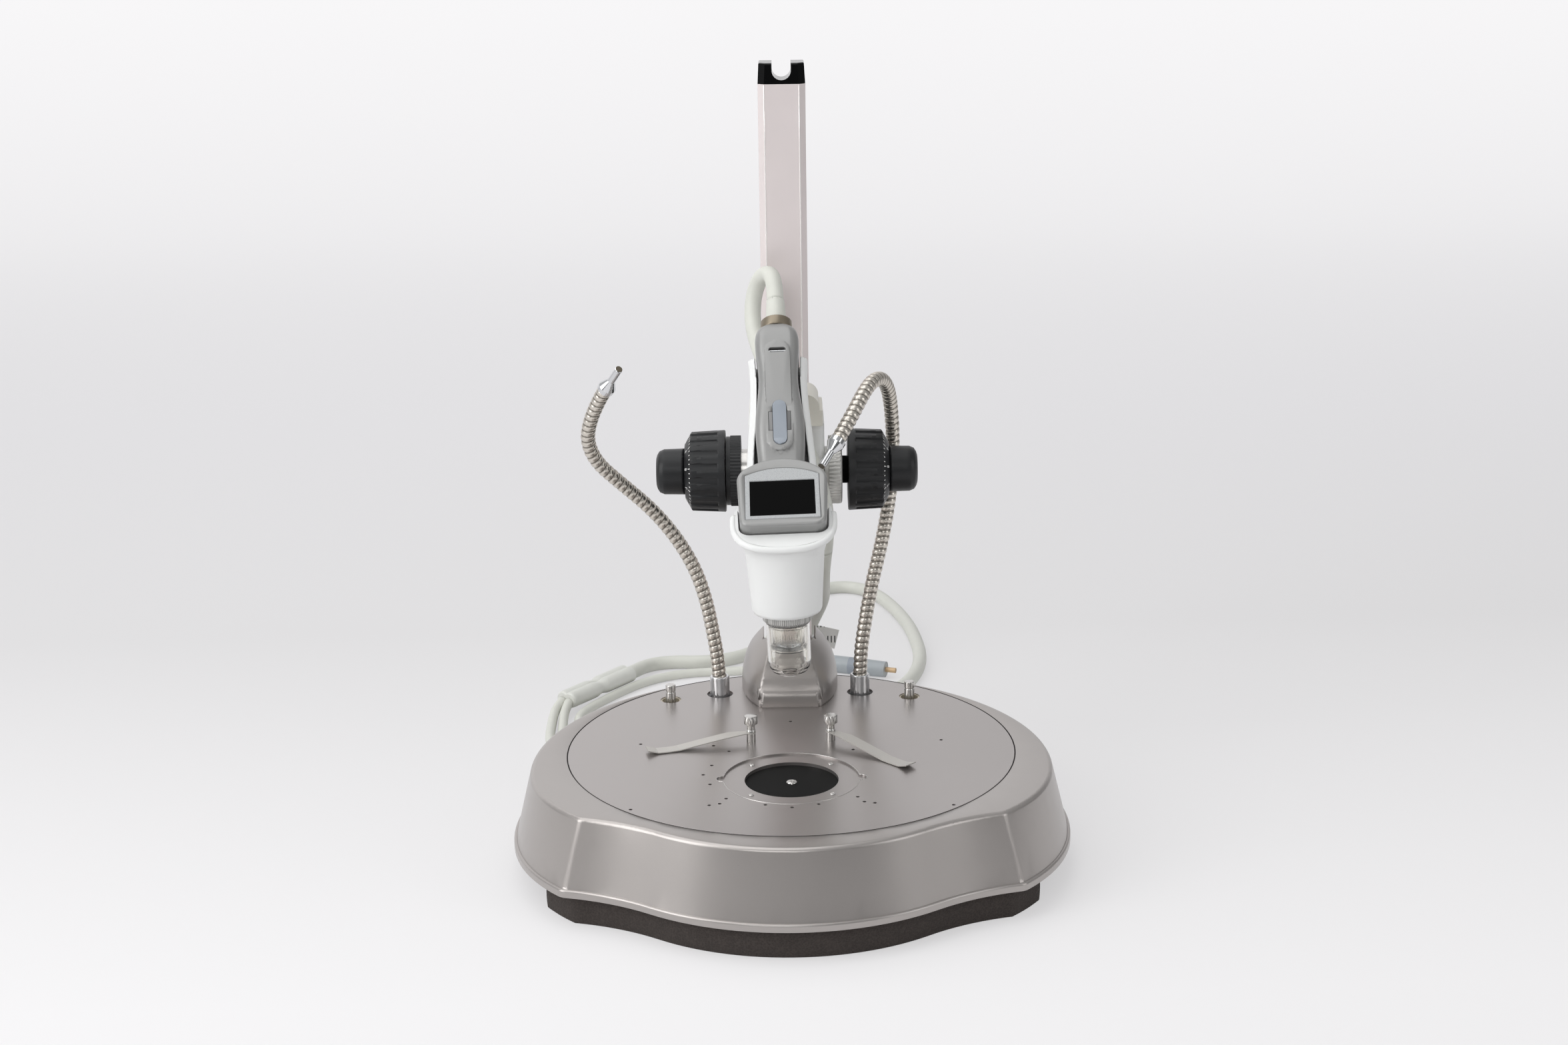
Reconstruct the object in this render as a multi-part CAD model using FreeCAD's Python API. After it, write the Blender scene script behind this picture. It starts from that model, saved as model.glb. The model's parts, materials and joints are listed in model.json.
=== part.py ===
import FreeCAD, Part

import math
import os

from FreeCAD import Placement, Rotation, Vector

# Video microscope on a focusing stand. Millimetres, +Z up, +X to the right, the user sits at -Y.
# The origin is the middle of the base's footprint, on the surface that the stand rests on.

# Foam pad under the base
pad_height = 19.0
pad_inset = 6.5
pad_half_width = 147.0

# Base housing
base_half_depth = 160.5
base_half_width = 172.0
base_height = 46.0
base_flare = 12.0
base_wall = 4.5
lip_height = 4.7
lip_step = 1.8
top_edge_fillet = 3.2
corner_fillet = 9.0
shoulder_angle = -8.0
bow_radius = 126.0
bow_lean = math.degrees(math.atan2(0.8, 0.6))
top_corner = (123.5, -100.0)
lip_corner = (135.6, -108.5)

# Round stage plate and what it carries
stage_radius = 139.5
stage_thickness = 3.0
seam_gap = 0.3
seam_chamfer = 0.4
stage_hole_radius = 28.5
recess_radius = 41.4
recess_depth = 1.0
ear_radius = 4.2
insert_rim = 7.5
insert_thickness = 2.0
insert_clearance = 0.3
tapped_hole_radius = 1.1
ring_screw_radius = 1.7
ring_screw_pitch_radius = 34.3
centre_screw_radius = 3.4
lens_y = -41.6

# Locating pins beside the light guides
pin_x = 79.0
pin_behind_stage = 92.0
pin_radius = 3.35
pin_height = 10.5
pin_recess_radius = 6.8
pin_liner_wall = 1.1

# Light guide sockets and flexible light guides
socket_x = 46.6
socket_y = 111.0
socket_radius = 6.4
socket_height = 13.0
socket_depth = 9.0
counterbore_radius = 8.6
guide_radius = 4.3
fit_clearance = 0.05
collar_radius = 5.5
collar_length = 3.6
cone_length = 6.0
rod_radius = 2.5
rod_length = 12.0

# Stage clips
clip_x = 25.1
clip_y = 22.0
post_radius = 2.9
post_height = 5.6
leaf_thickness = 0.6
leaf_width = 5.0
clip_screw_neck_radius = 2.5
clip_screw_neck_height = 5.6
clip_screw_head_radius = 4.3
clip_screw_head_height = 5.0
clip_pin_radius = 1.4

# Column, its cap and the sculpted cover round its foot
column_width = 30.0
column_depth = 26.0
column_front_y = 121.0
column_top_z = 465.0
column_chamfer = 4.0
column_wall = 2.6
cap_height = 13.0
cap_taper = 0.7
notch_width = 12.0
notch_depth = 10.5
cover_front_y = 83.0
cover_front_width = 42.0
cover_half_width = 32.0
cover_height = 35.0
cover_block_height = 12.0
cover_bevel = 5.0
cover_collar_half_width = 17.4
cover_gap = 1.2
cover_hollow = 1.9
cover_hollow_depth = 9.0

# Focusing carriage on the column
knob_y = 89.0
knob_z = 224.0
housing_half_width = 24.0
housing_front_y = 76.0
housing_back_wall = 9.0
housing_bottom_z = 190.0
housing_top_z = 257.0
column_clearance = 0.1
slide_half_width = 11.0
slide_front_y = 70.0
slide_back_y = 79.0
dovetail_spread = 3.0
slide_clearance = 0.1
slide_bottom_z = 188.0
slide_head_half_width = 23.0
slide_head_back_y = 108.0
slide_head_height = 10.0
slide_cap_half_width = 20.8
slide_cap_height = 10.0
slide_cap_round = 8.0
stop_gap = 0.1

# Rack and pinion
gear_module = 0.8
pinion_teeth = 18
pressure_angle = 20.0
backlash = 0.16
tooth_gap = 0.25
rack_width = 8.0
rack_height = 52.0

# Coarse and fine drive, along X
sleeve_radius = 6.0
fine_shaft_radius = 2.5
left_bush_radius = 13.9
left_bush_length = 5.0
ring_seat_radius = 10.0
tension_ring_inner_x = 29.1
tension_ring_length = 9.4
tension_ring_radius = 22.6
lock_ring_inner_x = 26.6
lock_ring_length = 8.4
lock_ring_radius = 21.9
lock_boss_radius = 15.0
coarse_inner_x = 39.0
coarse_length = 22.0
coarse_radius = 26.2
coarse_draft = 1.0
coarse_hub_radius = 8.8
coarse_dial_length = 4.0
coarse_dial_radius = 17.5
flute_count = 18
flute_width = 4.2
flute_depth = 0.9
flute_start = 5.0
fine_gap = 0.3
fine_length = 18.0
fine_radius = 14.75
fine_round = 5.0

# Hand-held unit: screen head, leaning handle, lens
lean = 1.6
lean_pivot_z = 132.0
screen_y = -41.0
screen_z = 241.0
screen_tilt = 33.0
screen_width = 38.2
screen_length = 27.0
head_half_width = 26.6
head_low = 21.6
head_arch = 32.0
head_wall = 15.0
throat_end_z = 205.0
head_edge_fillet = 2.0
head_corner_radius = 7.0
head_foot_taper = 1.1
head_side_top = 13.0
head_bulge_drop = 11.2
head_shoulder_drop = 7.2
handle_tilt = 42.0
unit_wall = 2.0
handle_foot_y = -1.3
handle_foot_z = 247.8
handle_start = -8.0
handle_end = 96.5
handle_half_width = 13.4
handle_waist_half_width = 12.9
handle_foot_half_width = 14.8
handle_half_thickness = 13.0
seam_front_y = -60.5
seam_front_z = 223.4
board_half_width = 9.6
board_half_length = 32.0
board_centre = 44.0
board_thickness = 1.6
button_centre = 24.8
button_length = 30.0
button_width = 8.2
button_depth = 2.4
button_proud = 0.7
button_travel = 0.6
panel_half_width = 7.6
panel_half_length = 38.0
panel_centre = 44.0
panel_proud = 0.5
button_clearance = 0.25
tab_width = 13.2
tab_length = 12.5
slot_centre = 75.4
slot_width = 10.6
slot_height = 3.4
slot_depth = 3.0
strap_bar_radius = 0.7
gland_radius = 9.6
gland_length = 6.5
gland_neck_radius = 8.8
relief_length = 15.0
relief_radius = 6.4

# Lens end
barrel_radius = 17.0
barrel_bottom_z = 172.4
lens_ring_radius = 14.8
lens_ring_height = 5.8
lens_ring_bore = 9.0
lens_band_radius = 13.4
lens_band_height = 1.4
tip_radius = 12.9
tip_wall = 1.5
tip_bottom_z = 132.0
tip_mouth_radius = 4.6
tube_radius = 9.4
tube_wall = 1.2

# Holder that carries the hand-held unit
cup_bottom_radius = 20.9
cup_top_radius = 23.4
cup_bottom_z = 171.0
cup_top_z = 208.0
cup_bottom_round = 2.8
rim_half_width = 29.3
rim_front_y = -68.0
rim_front_z = 218.5
rim_slope = 20.0
wing_gap = 0.9
wing_wall = 4.4
wing_end = 76.0
wing_front = 4.0
spine_wall = 4.5
arm_half_width = 10.5
arm_low_z = 210.0
arm_high_z = 243.0
arm_screw_radius = 2.2

# Cable and cords
cable_radius = 5.2
tail_radius = 3.4
junction_length = 72.0
junction_radius = 4.9
junction_waist = 4.1
junction_offset = 3.0
plug_radius = 6.7
plug_length = 58.0
band_start = 0.5
band_end = 0.66
ferrule_radius = 1.95
ferrule_length = 8.0
tag_width = 16.0
tag_height = 14.0
tag_thickness = 0.4

# Sizes worked out from the ones above
stage_z = pad_height + base_height
base_centre_y = base_half_depth - base_half_width
top_arc_radius = base_half_width - base_flare
bow_y = -base_half_depth + bow_radius + base_flare
stage_y = base_centre_y + top_arc_radius - stage_radius
pin_y = stage_y + pin_behind_stage
plate_floor_z = stage_z - stage_thickness
panel_surface = handle_half_thickness + panel_proud
column_back_y = column_front_y + column_depth
pitch_radius = gear_module * pinion_teeth / 2
rack_pitch_y = knob_y - pitch_radius
way_lead = 0.5 * dovetail_spread / (slide_back_y - housing_front_y)
handle_run = Vector(0, math.sin(math.radians(handle_tilt)), math.cos(math.radians(handle_tilt)))
handle_out = Vector(0, -handle_run.z, handle_run.y)
handle_foot = Vector(0, handle_foot_y, handle_foot_z)
gland_end = handle_end + gland_length
plate_up = Vector(0, math.cos(math.radians(screen_tilt)), math.sin(math.radians(screen_tilt)))
plate_out = Vector(0, -plate_up.z, plate_up.y)
screen_centre = Vector(0, screen_y, screen_z)
# Where a round section is divided so that it lofts to the head's outline.
outline_marks = [225, 315, 335, 385, 410, 490, 515, 565, 585]

written = []


def save(name, shape):
    """Writes one piece as parts/NAME.step."""
    os.makedirs("parts", exist_ok=True)
    shape.exportStep("parts/" + name + ".step")
    written.append(name)


def box(x0, x1, y0, y1, z0, z1):
    """A box between two corners."""
    return Part.makeBox(x1 - x0, y1 - y0, z1 - z0, Vector(x0, y0, z0))


def disc(radius, z0, z1, x=0.0, y=0.0):
    """An upright cylinder."""
    return Part.makeCylinder(radius, z1 - z0, Vector(x, y, z0))


def turned_z(profile, x=0.0, y=0.0):
    """A closed profile of (radius, z) points turned about an upright axis."""
    points = [Vector(x + r, y, z) for r, z in profile]
    face = Part.Face(Part.makePolygon(points + points[:1]))
    return face.revolve(Vector(x, y, 0), Vector(0, 0, 1), 360)


def turned_x(profile, side=1):
    """A closed profile of (x, radius) points turned about the knobs' axis; side -1 puts it on the left."""
    points = [Vector(side * x, knob_y, knob_z + r) for x, r in profile]
    face = Part.Face(Part.makePolygon(points + points[:1]))
    return face.revolve(Vector(0, knob_y, knob_z), Vector(1, 0, 0), 360)


def rod_between(start, end, radius):
    """A round rod from one point to another."""
    run = end - start
    return Part.makeCylinder(radius, run.Length, start, run)


def knurled_bar(radius, depth, teeth, length):
    """A straight-knurled bar along +Z from the origin: a star-shaped prism."""
    points = []
    for i in range(2 * teeth):
        angle = math.pi * i / teeth
        r = radius if i % 2 else radius - depth
        points.append(Vector(r * math.cos(angle), r * math.sin(angle), 0))
    return Part.Face(Part.makePolygon(points + points[:1])).extrude(Vector(0, 0, length))


def along_x(shape, x):
    """Turns a shape built along +Z so that it runs along +X from x, on the knobs' axis."""
    shape.Placement = Placement(Vector(x, knob_y, knob_z), Rotation(Vector(0, 1, 0), 90))
    return shape


def arc_leaving(start, tangent, end):
    """The arc that leaves start along tangent and ends at end."""
    chord = end - start
    along = Vector(chord).normalize()
    side = tangent - along * tangent.dot(along)
    swing = tangent.getAngle(chord)
    middle = (start + end) * 0.5 + Vector(side).normalize() * (chord.Length / 2 * math.tan(swing / 2))
    return Part.Arc(start, middle, end).toShape()


def mirrored_x(point):
    """The same point on the other side of the middle plane."""
    return Vector(-point.x, point.y, point.z)


def base_outline(share, inset, z):
    """The base's outline at a height. Share 0 is the top edge and 1 the lip; inset shrinks it."""
    grow = base_flare * share - inset
    corner_x = top_corner[0] + (lip_corner[0] - top_corner[0]) * share - inset
    corner_y = top_corner[1] + (lip_corner[1] - top_corner[1]) * share + inset * 0.7
    side_radius = top_arc_radius + grow
    angle = math.radians(shoulder_angle)
    side = Vector(side_radius * math.cos(angle), base_centre_y + side_radius * math.sin(angle), z)
    side_run = Vector(math.sin(angle), -math.cos(angle), 0)
    back = Vector(0, base_centre_y + side_radius, z)
    corner = Vector(corner_x, corner_y, z)
    bow = bow_radius + grow
    lean_angle = math.radians(bow_lean)
    bow_end = Vector(bow * math.cos(lean_angle), bow_y - bow * math.sin(lean_angle), z)
    bow_run = Vector(math.sin(lean_angle), math.cos(lean_angle), 0)
    front = Vector(0, bow_y - bow, z)
    right_shoulder = arc_leaving(side, side_run, corner)
    right_hollow = arc_leaving(bow_end, bow_run, corner)
    left_hollow = arc_leaving(mirrored_x(bow_end), mirrored_x(bow_run), mirrored_x(corner))
    left_shoulder = arc_leaving(mirrored_x(side), mirrored_x(side_run), mirrored_x(corner))
    edges = [
        Part.Arc(mirrored_x(side), back, side).toShape(),
        right_shoulder,
        right_hollow,
        Part.Arc(bow_end, front, mirrored_x(bow_end)).toShape(),
        left_hollow,
        left_shoulder,
    ]
    return Part.Wire(Part.__sortEdges__(edges))


def edges_where(shape, test):
    """The edges whose middle point passes a test."""
    found = []
    for edge in shape.Edges:
        middle = edge.valueAt((edge.FirstParameter + edge.LastParameter) / 2)
        if test(edge, middle):
            found.append(edge)
    return found


def is_upright_corner(edge, middle):
    """True for the two sloping edges at the base's front corners."""
    return len(edge.Vertexes) == 2 and abs(edge.Vertexes[0].Z - edge.Vertexes[1].Z) > 30 and middle.y < -90


# Base
def make_foam_pad():
    """The foam sheet that the housing stands on: the lip's outline less an inset, with straight sides."""
    sheet = Part.Face(base_outline(1, pad_inset, 0)).extrude(Vector(0, 0, pad_height))
    return sheet.common(
        box(-pad_half_width, pad_half_width, -base_half_width, base_half_width, 0, pad_height)
    )


def make_base_housing():
    """The flared housing with its rolled lip, hollow from below, with a seat for the stage plate."""
    wall_foot = (base_flare - lip_step) / base_flare
    lip_top_z = pad_height + lip_height
    walls = Part.makeLoft([base_outline(wall_foot, 0, lip_top_z), base_outline(0, 0, stage_z)], True, True)
    walls = walls.makeFillet(corner_fillet, edges_where(walls, is_upright_corner))
    top_edges = edges_where(walls, lambda edge, middle: middle.z > stage_z - 0.01)
    walls = walls.makeFillet(top_edge_fillet, top_edges)
    lip = Part.Face(base_outline(1, 0, pad_height)).extrude(Vector(0, 0, lip_height))
    corner_edges = edges_where(
        lip, lambda edge, m: abs(edge.Vertexes[0].Z - edge.Vertexes[-1].Z) > 1 and m.y < -90
    )
    lip = lip.makeFillet(corner_fillet, corner_edges)
    lip_edges = edges_where(lip, lambda edge, middle: middle.z > lip_top_z - 0.01)
    lip = lip.makeFillet(lip_step * 0.8, lip_edges)
    housing = walls.fuse(lip)
    ceiling_z = plate_floor_z - base_wall
    pocket = Part.makeLoft(
        [base_outline(wall_foot, base_wall, pad_height - 1), base_outline(0.1, base_wall, ceiling_z)],
        True,
        True,
    )
    housing = housing.cut(pocket)
    housing = housing.cut(disc(stage_radius + seam_gap, plate_floor_z, stage_z + 1, 0, stage_y))
    reach = stage_radius * 0.5
    back_y = stage_y + stage_radius * math.cos(math.radians(30))
    housing = housing.cut(box(-reach, reach, back_y, base_half_depth, plate_floor_z, stage_z + 1))
    insert_radius = stage_hole_radius + insert_rim + insert_clearance
    housing = housing.cut(disc(insert_radius, plate_floor_z - insert_thickness, stage_z, 0, lens_y))
    return housing


tapped_holes_both_sides = [
    (94.6, 10.2),
    (94.8, -96.6),
    (38.7, -4.4),
    (39.0, -82.0),
    (48.8, -91.8),
    (42.7, -89.6),
    (15.7, -92.5),
]
tapped_holes_single = [
    (-48.7, 5.6),
    (-48.9, -28.0),
    (-53.7, -43.5),
    (-49.2, -59.1),
    (0.0, -96.9),
    (0.0, 47.3),
]


def make_stage_plate():
    """The round plate flush with the housing's top: lens hole, shallow recess and tapped holes."""
    plate = disc(stage_radius, plate_floor_z, stage_z, 0, stage_y)
    rim = edges_where(plate, lambda edge, middle: middle.z > stage_z - 0.01)
    plate = plate.makeChamfer(seam_chamfer, rim)
    recess_z = stage_z - recess_depth
    cuts = [disc(recess_radius, recess_z, stage_z + 1, 0, lens_y)]
    cuts.append(disc(stage_hole_radius, plate_floor_z - 1, stage_z, 0, lens_y))
    for side in (-1, 1):
        cuts.append(disc(ear_radius, recess_z, stage_z + 1, side * recess_radius, lens_y))
        cuts.append(disc(counterbore_radius, plate_floor_z - 1, stage_z + 1, side * socket_x, socket_y))
        cuts.append(disc(pin_recess_radius, plate_floor_z - 1, stage_z + 1, side * pin_x, pin_y))
        for x, y in tapped_holes_both_sides:
            cuts.append(disc(tapped_hole_radius, plate_floor_z - 1, stage_z + 1, side * x, stage_y + y))
    for x, y in tapped_holes_single:
        cuts.append(disc(tapped_hole_radius, plate_floor_z - 1, stage_z + 1, x, stage_y + y))
    return plate.cut(Part.makeCompound(cuts))


def make_stage_insert():
    """The black disc seen through the stage hole, held up against the plate from below."""
    return disc(stage_hole_radius + insert_rim, plate_floor_z - insert_thickness, plate_floor_z, 0, lens_y)


def domed_screw(radius, height, slot, x, y, z):
    """A low domed screw head with a cross slot, standing on z."""
    profile = [
        (0, z),
        (radius, z),
        (radius * 0.9, z + height * 0.55),
        (radius * 0.5, z + height * 0.9),
        (0, z + height),
    ]
    head = turned_z([(r, h) for r, h in profile], x, y)
    for turn in (0, 90):
        bar = box(-radius * 0.6, radius * 0.6, -slot / 2, slot / 2, z + height * 0.45, z + height + 1)
        bar.rotate(Vector(0, 0, 0), Vector(0, 0, 1), turn)
        bar.translate(Vector(x, y, 0))
        head = head.cut(bar)
    return head


def make_stage_screws():
    """The chrome screw in the middle of the insert and the four small ones in the recess round the hole."""
    heads = [domed_screw(centre_screw_radius, 1.5, 0.8, 0, lens_y, plate_floor_z)]
    for corner in range(4):
        angle = math.radians(45 + 90 * corner)
        x = ring_screw_pitch_radius * math.cos(angle)
        y = lens_y + ring_screw_pitch_radius * math.sin(angle)
        heads.append(domed_screw(ring_screw_radius, 0.9, 0.4, x, y, stage_z - recess_depth))
    return Part.makeCompound(heads)


def make_locating_pins():
    """The two steel pins that stand in lined recesses at the back of the stage."""
    pins = []
    for side in (-1, 1):
        top_z = stage_z + pin_height
        groove_z = stage_z + pin_height * 0.55
        profile = [
            (0, plate_floor_z),
            (pin_radius, plate_floor_z),
            (pin_radius, groove_z - 0.6),
            (pin_radius - 0.5, groove_z - 0.3),
            (pin_radius - 0.5, groove_z + 0.3),
            (pin_radius, groove_z + 0.6),
            (pin_radius, top_z - 0.5),
            (pin_radius - 0.5, top_z),
            (0, top_z),
        ]
        pins.append(turned_z(profile, side * pin_x, pin_y))
    return Part.makeCompound(pins)


def make_pin_liners():
    """The thin brass rings that line the two pin recesses."""
    rings = []
    for side in (-1, 1):
        ring = disc(pin_recess_radius, plate_floor_z, stage_z - 0.6, side * pin_x, pin_y)
        hole = disc(pin_recess_radius - pin_liner_wall, plate_floor_z - 1, stage_z, side * pin_x, pin_y)
        rings.append(ring.cut(hole))
    return Part.makeCompound(rings)


# Light guides
def make_socket(side):
    """One steel tube that a light guide stands in, with two ears in its counterbore."""
    x = side * socket_x
    top_z = stage_z + socket_height
    body = disc(socket_radius, plate_floor_z, top_z, x, socket_y)
    rim = edges_where(body, lambda edge, middle: middle.z > top_z - 0.01)
    body = body.makeChamfer(0.8, rim)
    ears = box(
        x - counterbore_radius + 0.2,
        x + counterbore_radius - 0.2,
        socket_y - 1.8,
        socket_y + 1.8,
        plate_floor_z,
        plate_floor_z + 2.4,
    )
    body = body.fuse(ears)
    return body.cut(disc(guide_radius + fit_clearance, top_z - socket_depth, top_z + 1, x, socket_y))


def cord_path(points, name):
    """A wire of straight runs joined by arcs as large as the runs allow; prints the arcs' radii."""
    corners = [Vector(*p) for p in points]
    edges = []
    radii = []
    start = corners[0]
    for a, b, c in zip(corners, corners[1:], corners[2:]):
        before = (b - a).normalize()
        after = (c - b).normalize()
        turn = before.getAngle(after)
        reach = 0.45 * min((b - a).Length, (c - b).Length)
        radius = reach / math.tan(turn / 2)
        middle = b + (after - before).normalize() * (radius / math.cos(turn / 2) - radius)
        edges.append(Part.LineSegment(start, b - before * reach).toShape())
        edges.append(Part.Arc(b - before * reach, middle, b + after * reach).toShape())
        start = b + after * reach
        radii.append(round(radius, 1))
    edges.append(Part.LineSegment(start, corners[-1]).toShape())
    print(name, "radii", radii)
    return Part.Wire(edges)


def cord_tube(points, radius, name):
    """A round tube along a cord path; prints its volume against section times length."""
    path = cord_path(points, name)
    first_run = Vector(*points[1]) - Vector(*points[0])
    ring = Part.Wire(Part.makeCircle(radius, Vector(*points[0]), first_run))
    tube = path.makePipeShell([ring], True, False)
    share = tube.Volume / (math.pi * radius**2 * path.Length)
    print(name, "length", round(path.Length, 1), "volume share", round(share, 4))
    return tube


left_guide_route = [
    (-socket_x, socket_y, stage_z + socket_height - socket_depth),
    (-47.6, 111.2, 90.0),
    (-50.4, 111.5, 108.0),
    (-54.2, 111.2, 130.0),
    (-61.0, 111.0, 152.5),
    (-73.0, 110.0, 174.6),
    (-88.4, 106.0, 195.2),
    (-107.2, 99.0, 214.2),
    (-121.6, 91.0, 230.0),
    (-126.8, 83.0, 246.0),
    (-123.7, 75.0, 261.5),
    (-116.2, 67.2, 278.0),
    (-112.4, 62.6, 284.0),
]
right_guide_route = [
    (socket_x, socket_y, stage_z + socket_height - socket_depth),
    (47.0, 111.4, 90.0),
    (49.4, 112.4, 108.0),
    (54.4, 114.4, 137.0),
    (60.8, 116.6, 163.0),
    (65.8, 118.4, 188.0),
    (68.6, 118.8, 213.0),
    (69.2, 117.6, 238.0),
    (67.8, 112.4, 259.5),
    (65.2, 99.5, 275.0),
    (60.6, 86.0, 284.0),
    (54.6, 73.0, 285.4),
    (48.4, 60.0, 280.4),
    (41.6, 48.5, 270.4),
    (34.0, 38.0, 259.6),
    (31.4, 34.4, 256.4),
]


def make_light_tip(route):
    """The chrome collar, cone and rod at the end of a light guide."""
    end = Vector(*route[-1])
    run = (end - Vector(*route[-2])).normalize()
    collar = Part.makeCylinder(collar_radius, collar_length, end, run)
    cone_start = end + run * collar_length
    cone = Part.makeCone(collar_radius, rod_radius, cone_length, cone_start, run)
    rod = Part.makeCylinder(rod_radius, cone_length + rod_length, cone_start, run)
    return collar.fuse(cone).fuse(rod)


def make_light_lens(route):
    """The glass end of a light guide's rod."""
    run = (Vector(*route[-1]) - Vector(*route[-2])).normalize()
    start = Vector(*route[-1]) + run * (collar_length + cone_length + rod_length)
    return Part.makeCylinder(rod_radius - 0.4, 0.5, start, run)


# Stage clips
def make_clip_post(side):
    """The short turned post that a stage clip pivots on, with a thin pin through leaf and screw."""
    x = side * clip_x
    top_z = stage_z + post_height
    post = disc(post_radius, stage_z, top_z, x, clip_y)
    rim = edges_where(post, lambda edge, middle: middle.z > top_z - 0.01)
    post = post.makeChamfer(0.4, rim)
    return post.fuse(disc(clip_pin_radius, stage_z, top_z + 8.0, x, clip_y))


def make_clip_leaf(side):
    """A spring leaf: flat eye round the pin, and a strip that dips to the stage and turns up."""
    seat_z = stage_z + post_height
    far = Vector(side * clip_x, clip_y, 0)
    ends = {-1: Vector(-89.8, 3.5, 0), 1: Vector(73.0, -28.5, 0)}
    run = (ends[side] - far).normalize()
    reach = (ends[side] - far).Length
    heights = [(0.0, 0.0), (0.16, 0.0), (0.34, -1.4), (0.6, -4.0), (0.88, -5.4), (1.0, -3.2)]
    line = [Vector(reach * s, 0, seat_z + leaf_thickness / 2 + h) for s, h in heights]
    centre = Part.BSplineCurve()
    centre.interpolate(line)
    steps = 10
    above = []
    below = []
    for i in range(steps + 1):
        p = centre.value(centre.FirstParameter + (centre.LastParameter - centre.FirstParameter) * i / steps)
        height = min(max(p.z, stage_z + leaf_thickness), seat_z + leaf_thickness / 2)
        above.append(Vector(p.x, -leaf_width / 2, height + leaf_thickness / 2))
        below.append(Vector(p.x, -leaf_width / 2, height - leaf_thickness / 2))
    section = Part.Face(Part.makePolygon(above + below[::-1] + above[:1]))
    strip = section.extrude(Vector(0, leaf_width, 0))
    eye = disc(leaf_width * 0.62, seat_z, seat_z + leaf_thickness)
    leaf = strip.fuse(eye).cut(disc(clip_pin_radius + fit_clearance, seat_z - 5, seat_z + 5))
    leaf.rotate(Vector(0, 0, 0), Vector(0, 0, 1), math.degrees(math.atan2(run.y, run.x)))
    leaf.translate(far)
    return leaf


def make_clip_screw(side):
    """The thumb screw on top of a clip: a waisted neck under a knurled head."""
    x = side * clip_x
    foot_z = stage_z + post_height + leaf_thickness
    head_z = foot_z + clip_screw_neck_height
    neck = [
        (0, foot_z),
        (clip_screw_neck_radius + 0.4, foot_z),
        (clip_screw_neck_radius + 0.4, foot_z + 1.4),
        (clip_screw_neck_radius, foot_z + 1.8),
        (clip_screw_neck_radius, head_z - 1.6),
        (clip_screw_head_radius * 0.8, head_z + 0.4),
        (0, head_z + 0.4),
    ]
    head = knurled_bar(clip_screw_head_radius, 0.35, 20, clip_screw_head_height)
    head.translate(Vector(x, clip_y, head_z))
    bore = disc(clip_pin_radius + fit_clearance, foot_z - 1, stage_z + post_height + 8.3, x, clip_y)
    return turned_z(neck, x, clip_y).fuse(head).cut(bore)


# Column
def column_outline(grow, z, taper=0.0):
    """The column's section: a rectangle with its two front corners cut off."""
    w = column_width / 2 + grow - taper
    front = column_front_y - grow + taper
    back = column_back_y + grow - taper
    c = column_chamfer
    points = [
        Vector(-w, back, z),
        Vector(w, back, z),
        Vector(w, front + c, z),
        Vector(w - c, front, z),
        Vector(-w + c, front, z),
        Vector(-w, front + c, z),
    ]
    return Part.makePolygon(points + points[:1])


def column_block(grow, z0, z1):
    """A solid with the column's section, grown all round."""
    return Part.Face(column_outline(grow, z0)).extrude(Vector(0, 0, z1 - z0))


def make_column():
    """The extruded column, hollow inside."""
    tube = column_block(0, stage_z, column_top_z)
    upright = edges_where(tube, lambda edge, m: abs(edge.Vertexes[0].Z - edge.Vertexes[-1].Z) > 10)
    tube = tube.makeFillet(0.8, upright)
    return tube.cut(column_block(-column_wall, stage_z - 1, column_top_z + 1))


def make_column_cap():
    """The gloss cap with a round-bottomed notch from front to back, where the cable can rest."""
    top_z = column_top_z + cap_height
    cap = Part.makeLoft([column_outline(0, column_top_z), column_outline(0, top_z, cap_taper)], True, True)
    rim = edges_where(cap, lambda edge, middle: middle.z > top_z - 0.01)
    cap = cap.makeFillet(1.0, rim)
    floor_z = top_z - notch_depth + notch_width / 2
    y0 = column_front_y - 1
    length = column_depth + 2
    round_floor = Part.makeCylinder(notch_width / 2, length, Vector(0, y0, floor_z), Vector(0, 1, 0))
    slot = box(-notch_width / 2, notch_width / 2, y0, y0 + length, floor_z, top_z + 1)
    cap = cap.cut(round_floor.fuse(slot))
    plug = column_block(-column_wall - 0.1, column_top_z - 8.0, column_top_z)
    return cap.fuse(plug)


def cover_section(z, half, front_half, front_y):
    """A closed outline of the foot cover at one height: flat front, swelling sides, flat back."""
    back = column_back_y + 0.6
    bulge_y = back - (back - front_y) * 0.28
    stations = [
        (front_half, front_y),
        (front_half + (half - front_half) * 0.62, front_y + (bulge_y - front_y) * 0.36),
        (half, bulge_y),
        (half * 0.97, back),
    ]
    right = Part.BSplineCurve()
    right.interpolate([Vector(x, y, z) for x, y in stations])
    left = Part.BSplineCurve()
    left.interpolate([Vector(-x, y, z) for x, y in stations])
    edges = [
        Part.LineSegment(Vector(-front_half, front_y, z), Vector(front_half, front_y, z)).toShape(),
        right.toShape(),
        Part.LineSegment(Vector(half * 0.97, back, z), Vector(-half * 0.97, back, z)).toShape(),
        left.toShape(),
    ]
    return Part.Wire(Part.__sortEdges__(edges))


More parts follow.
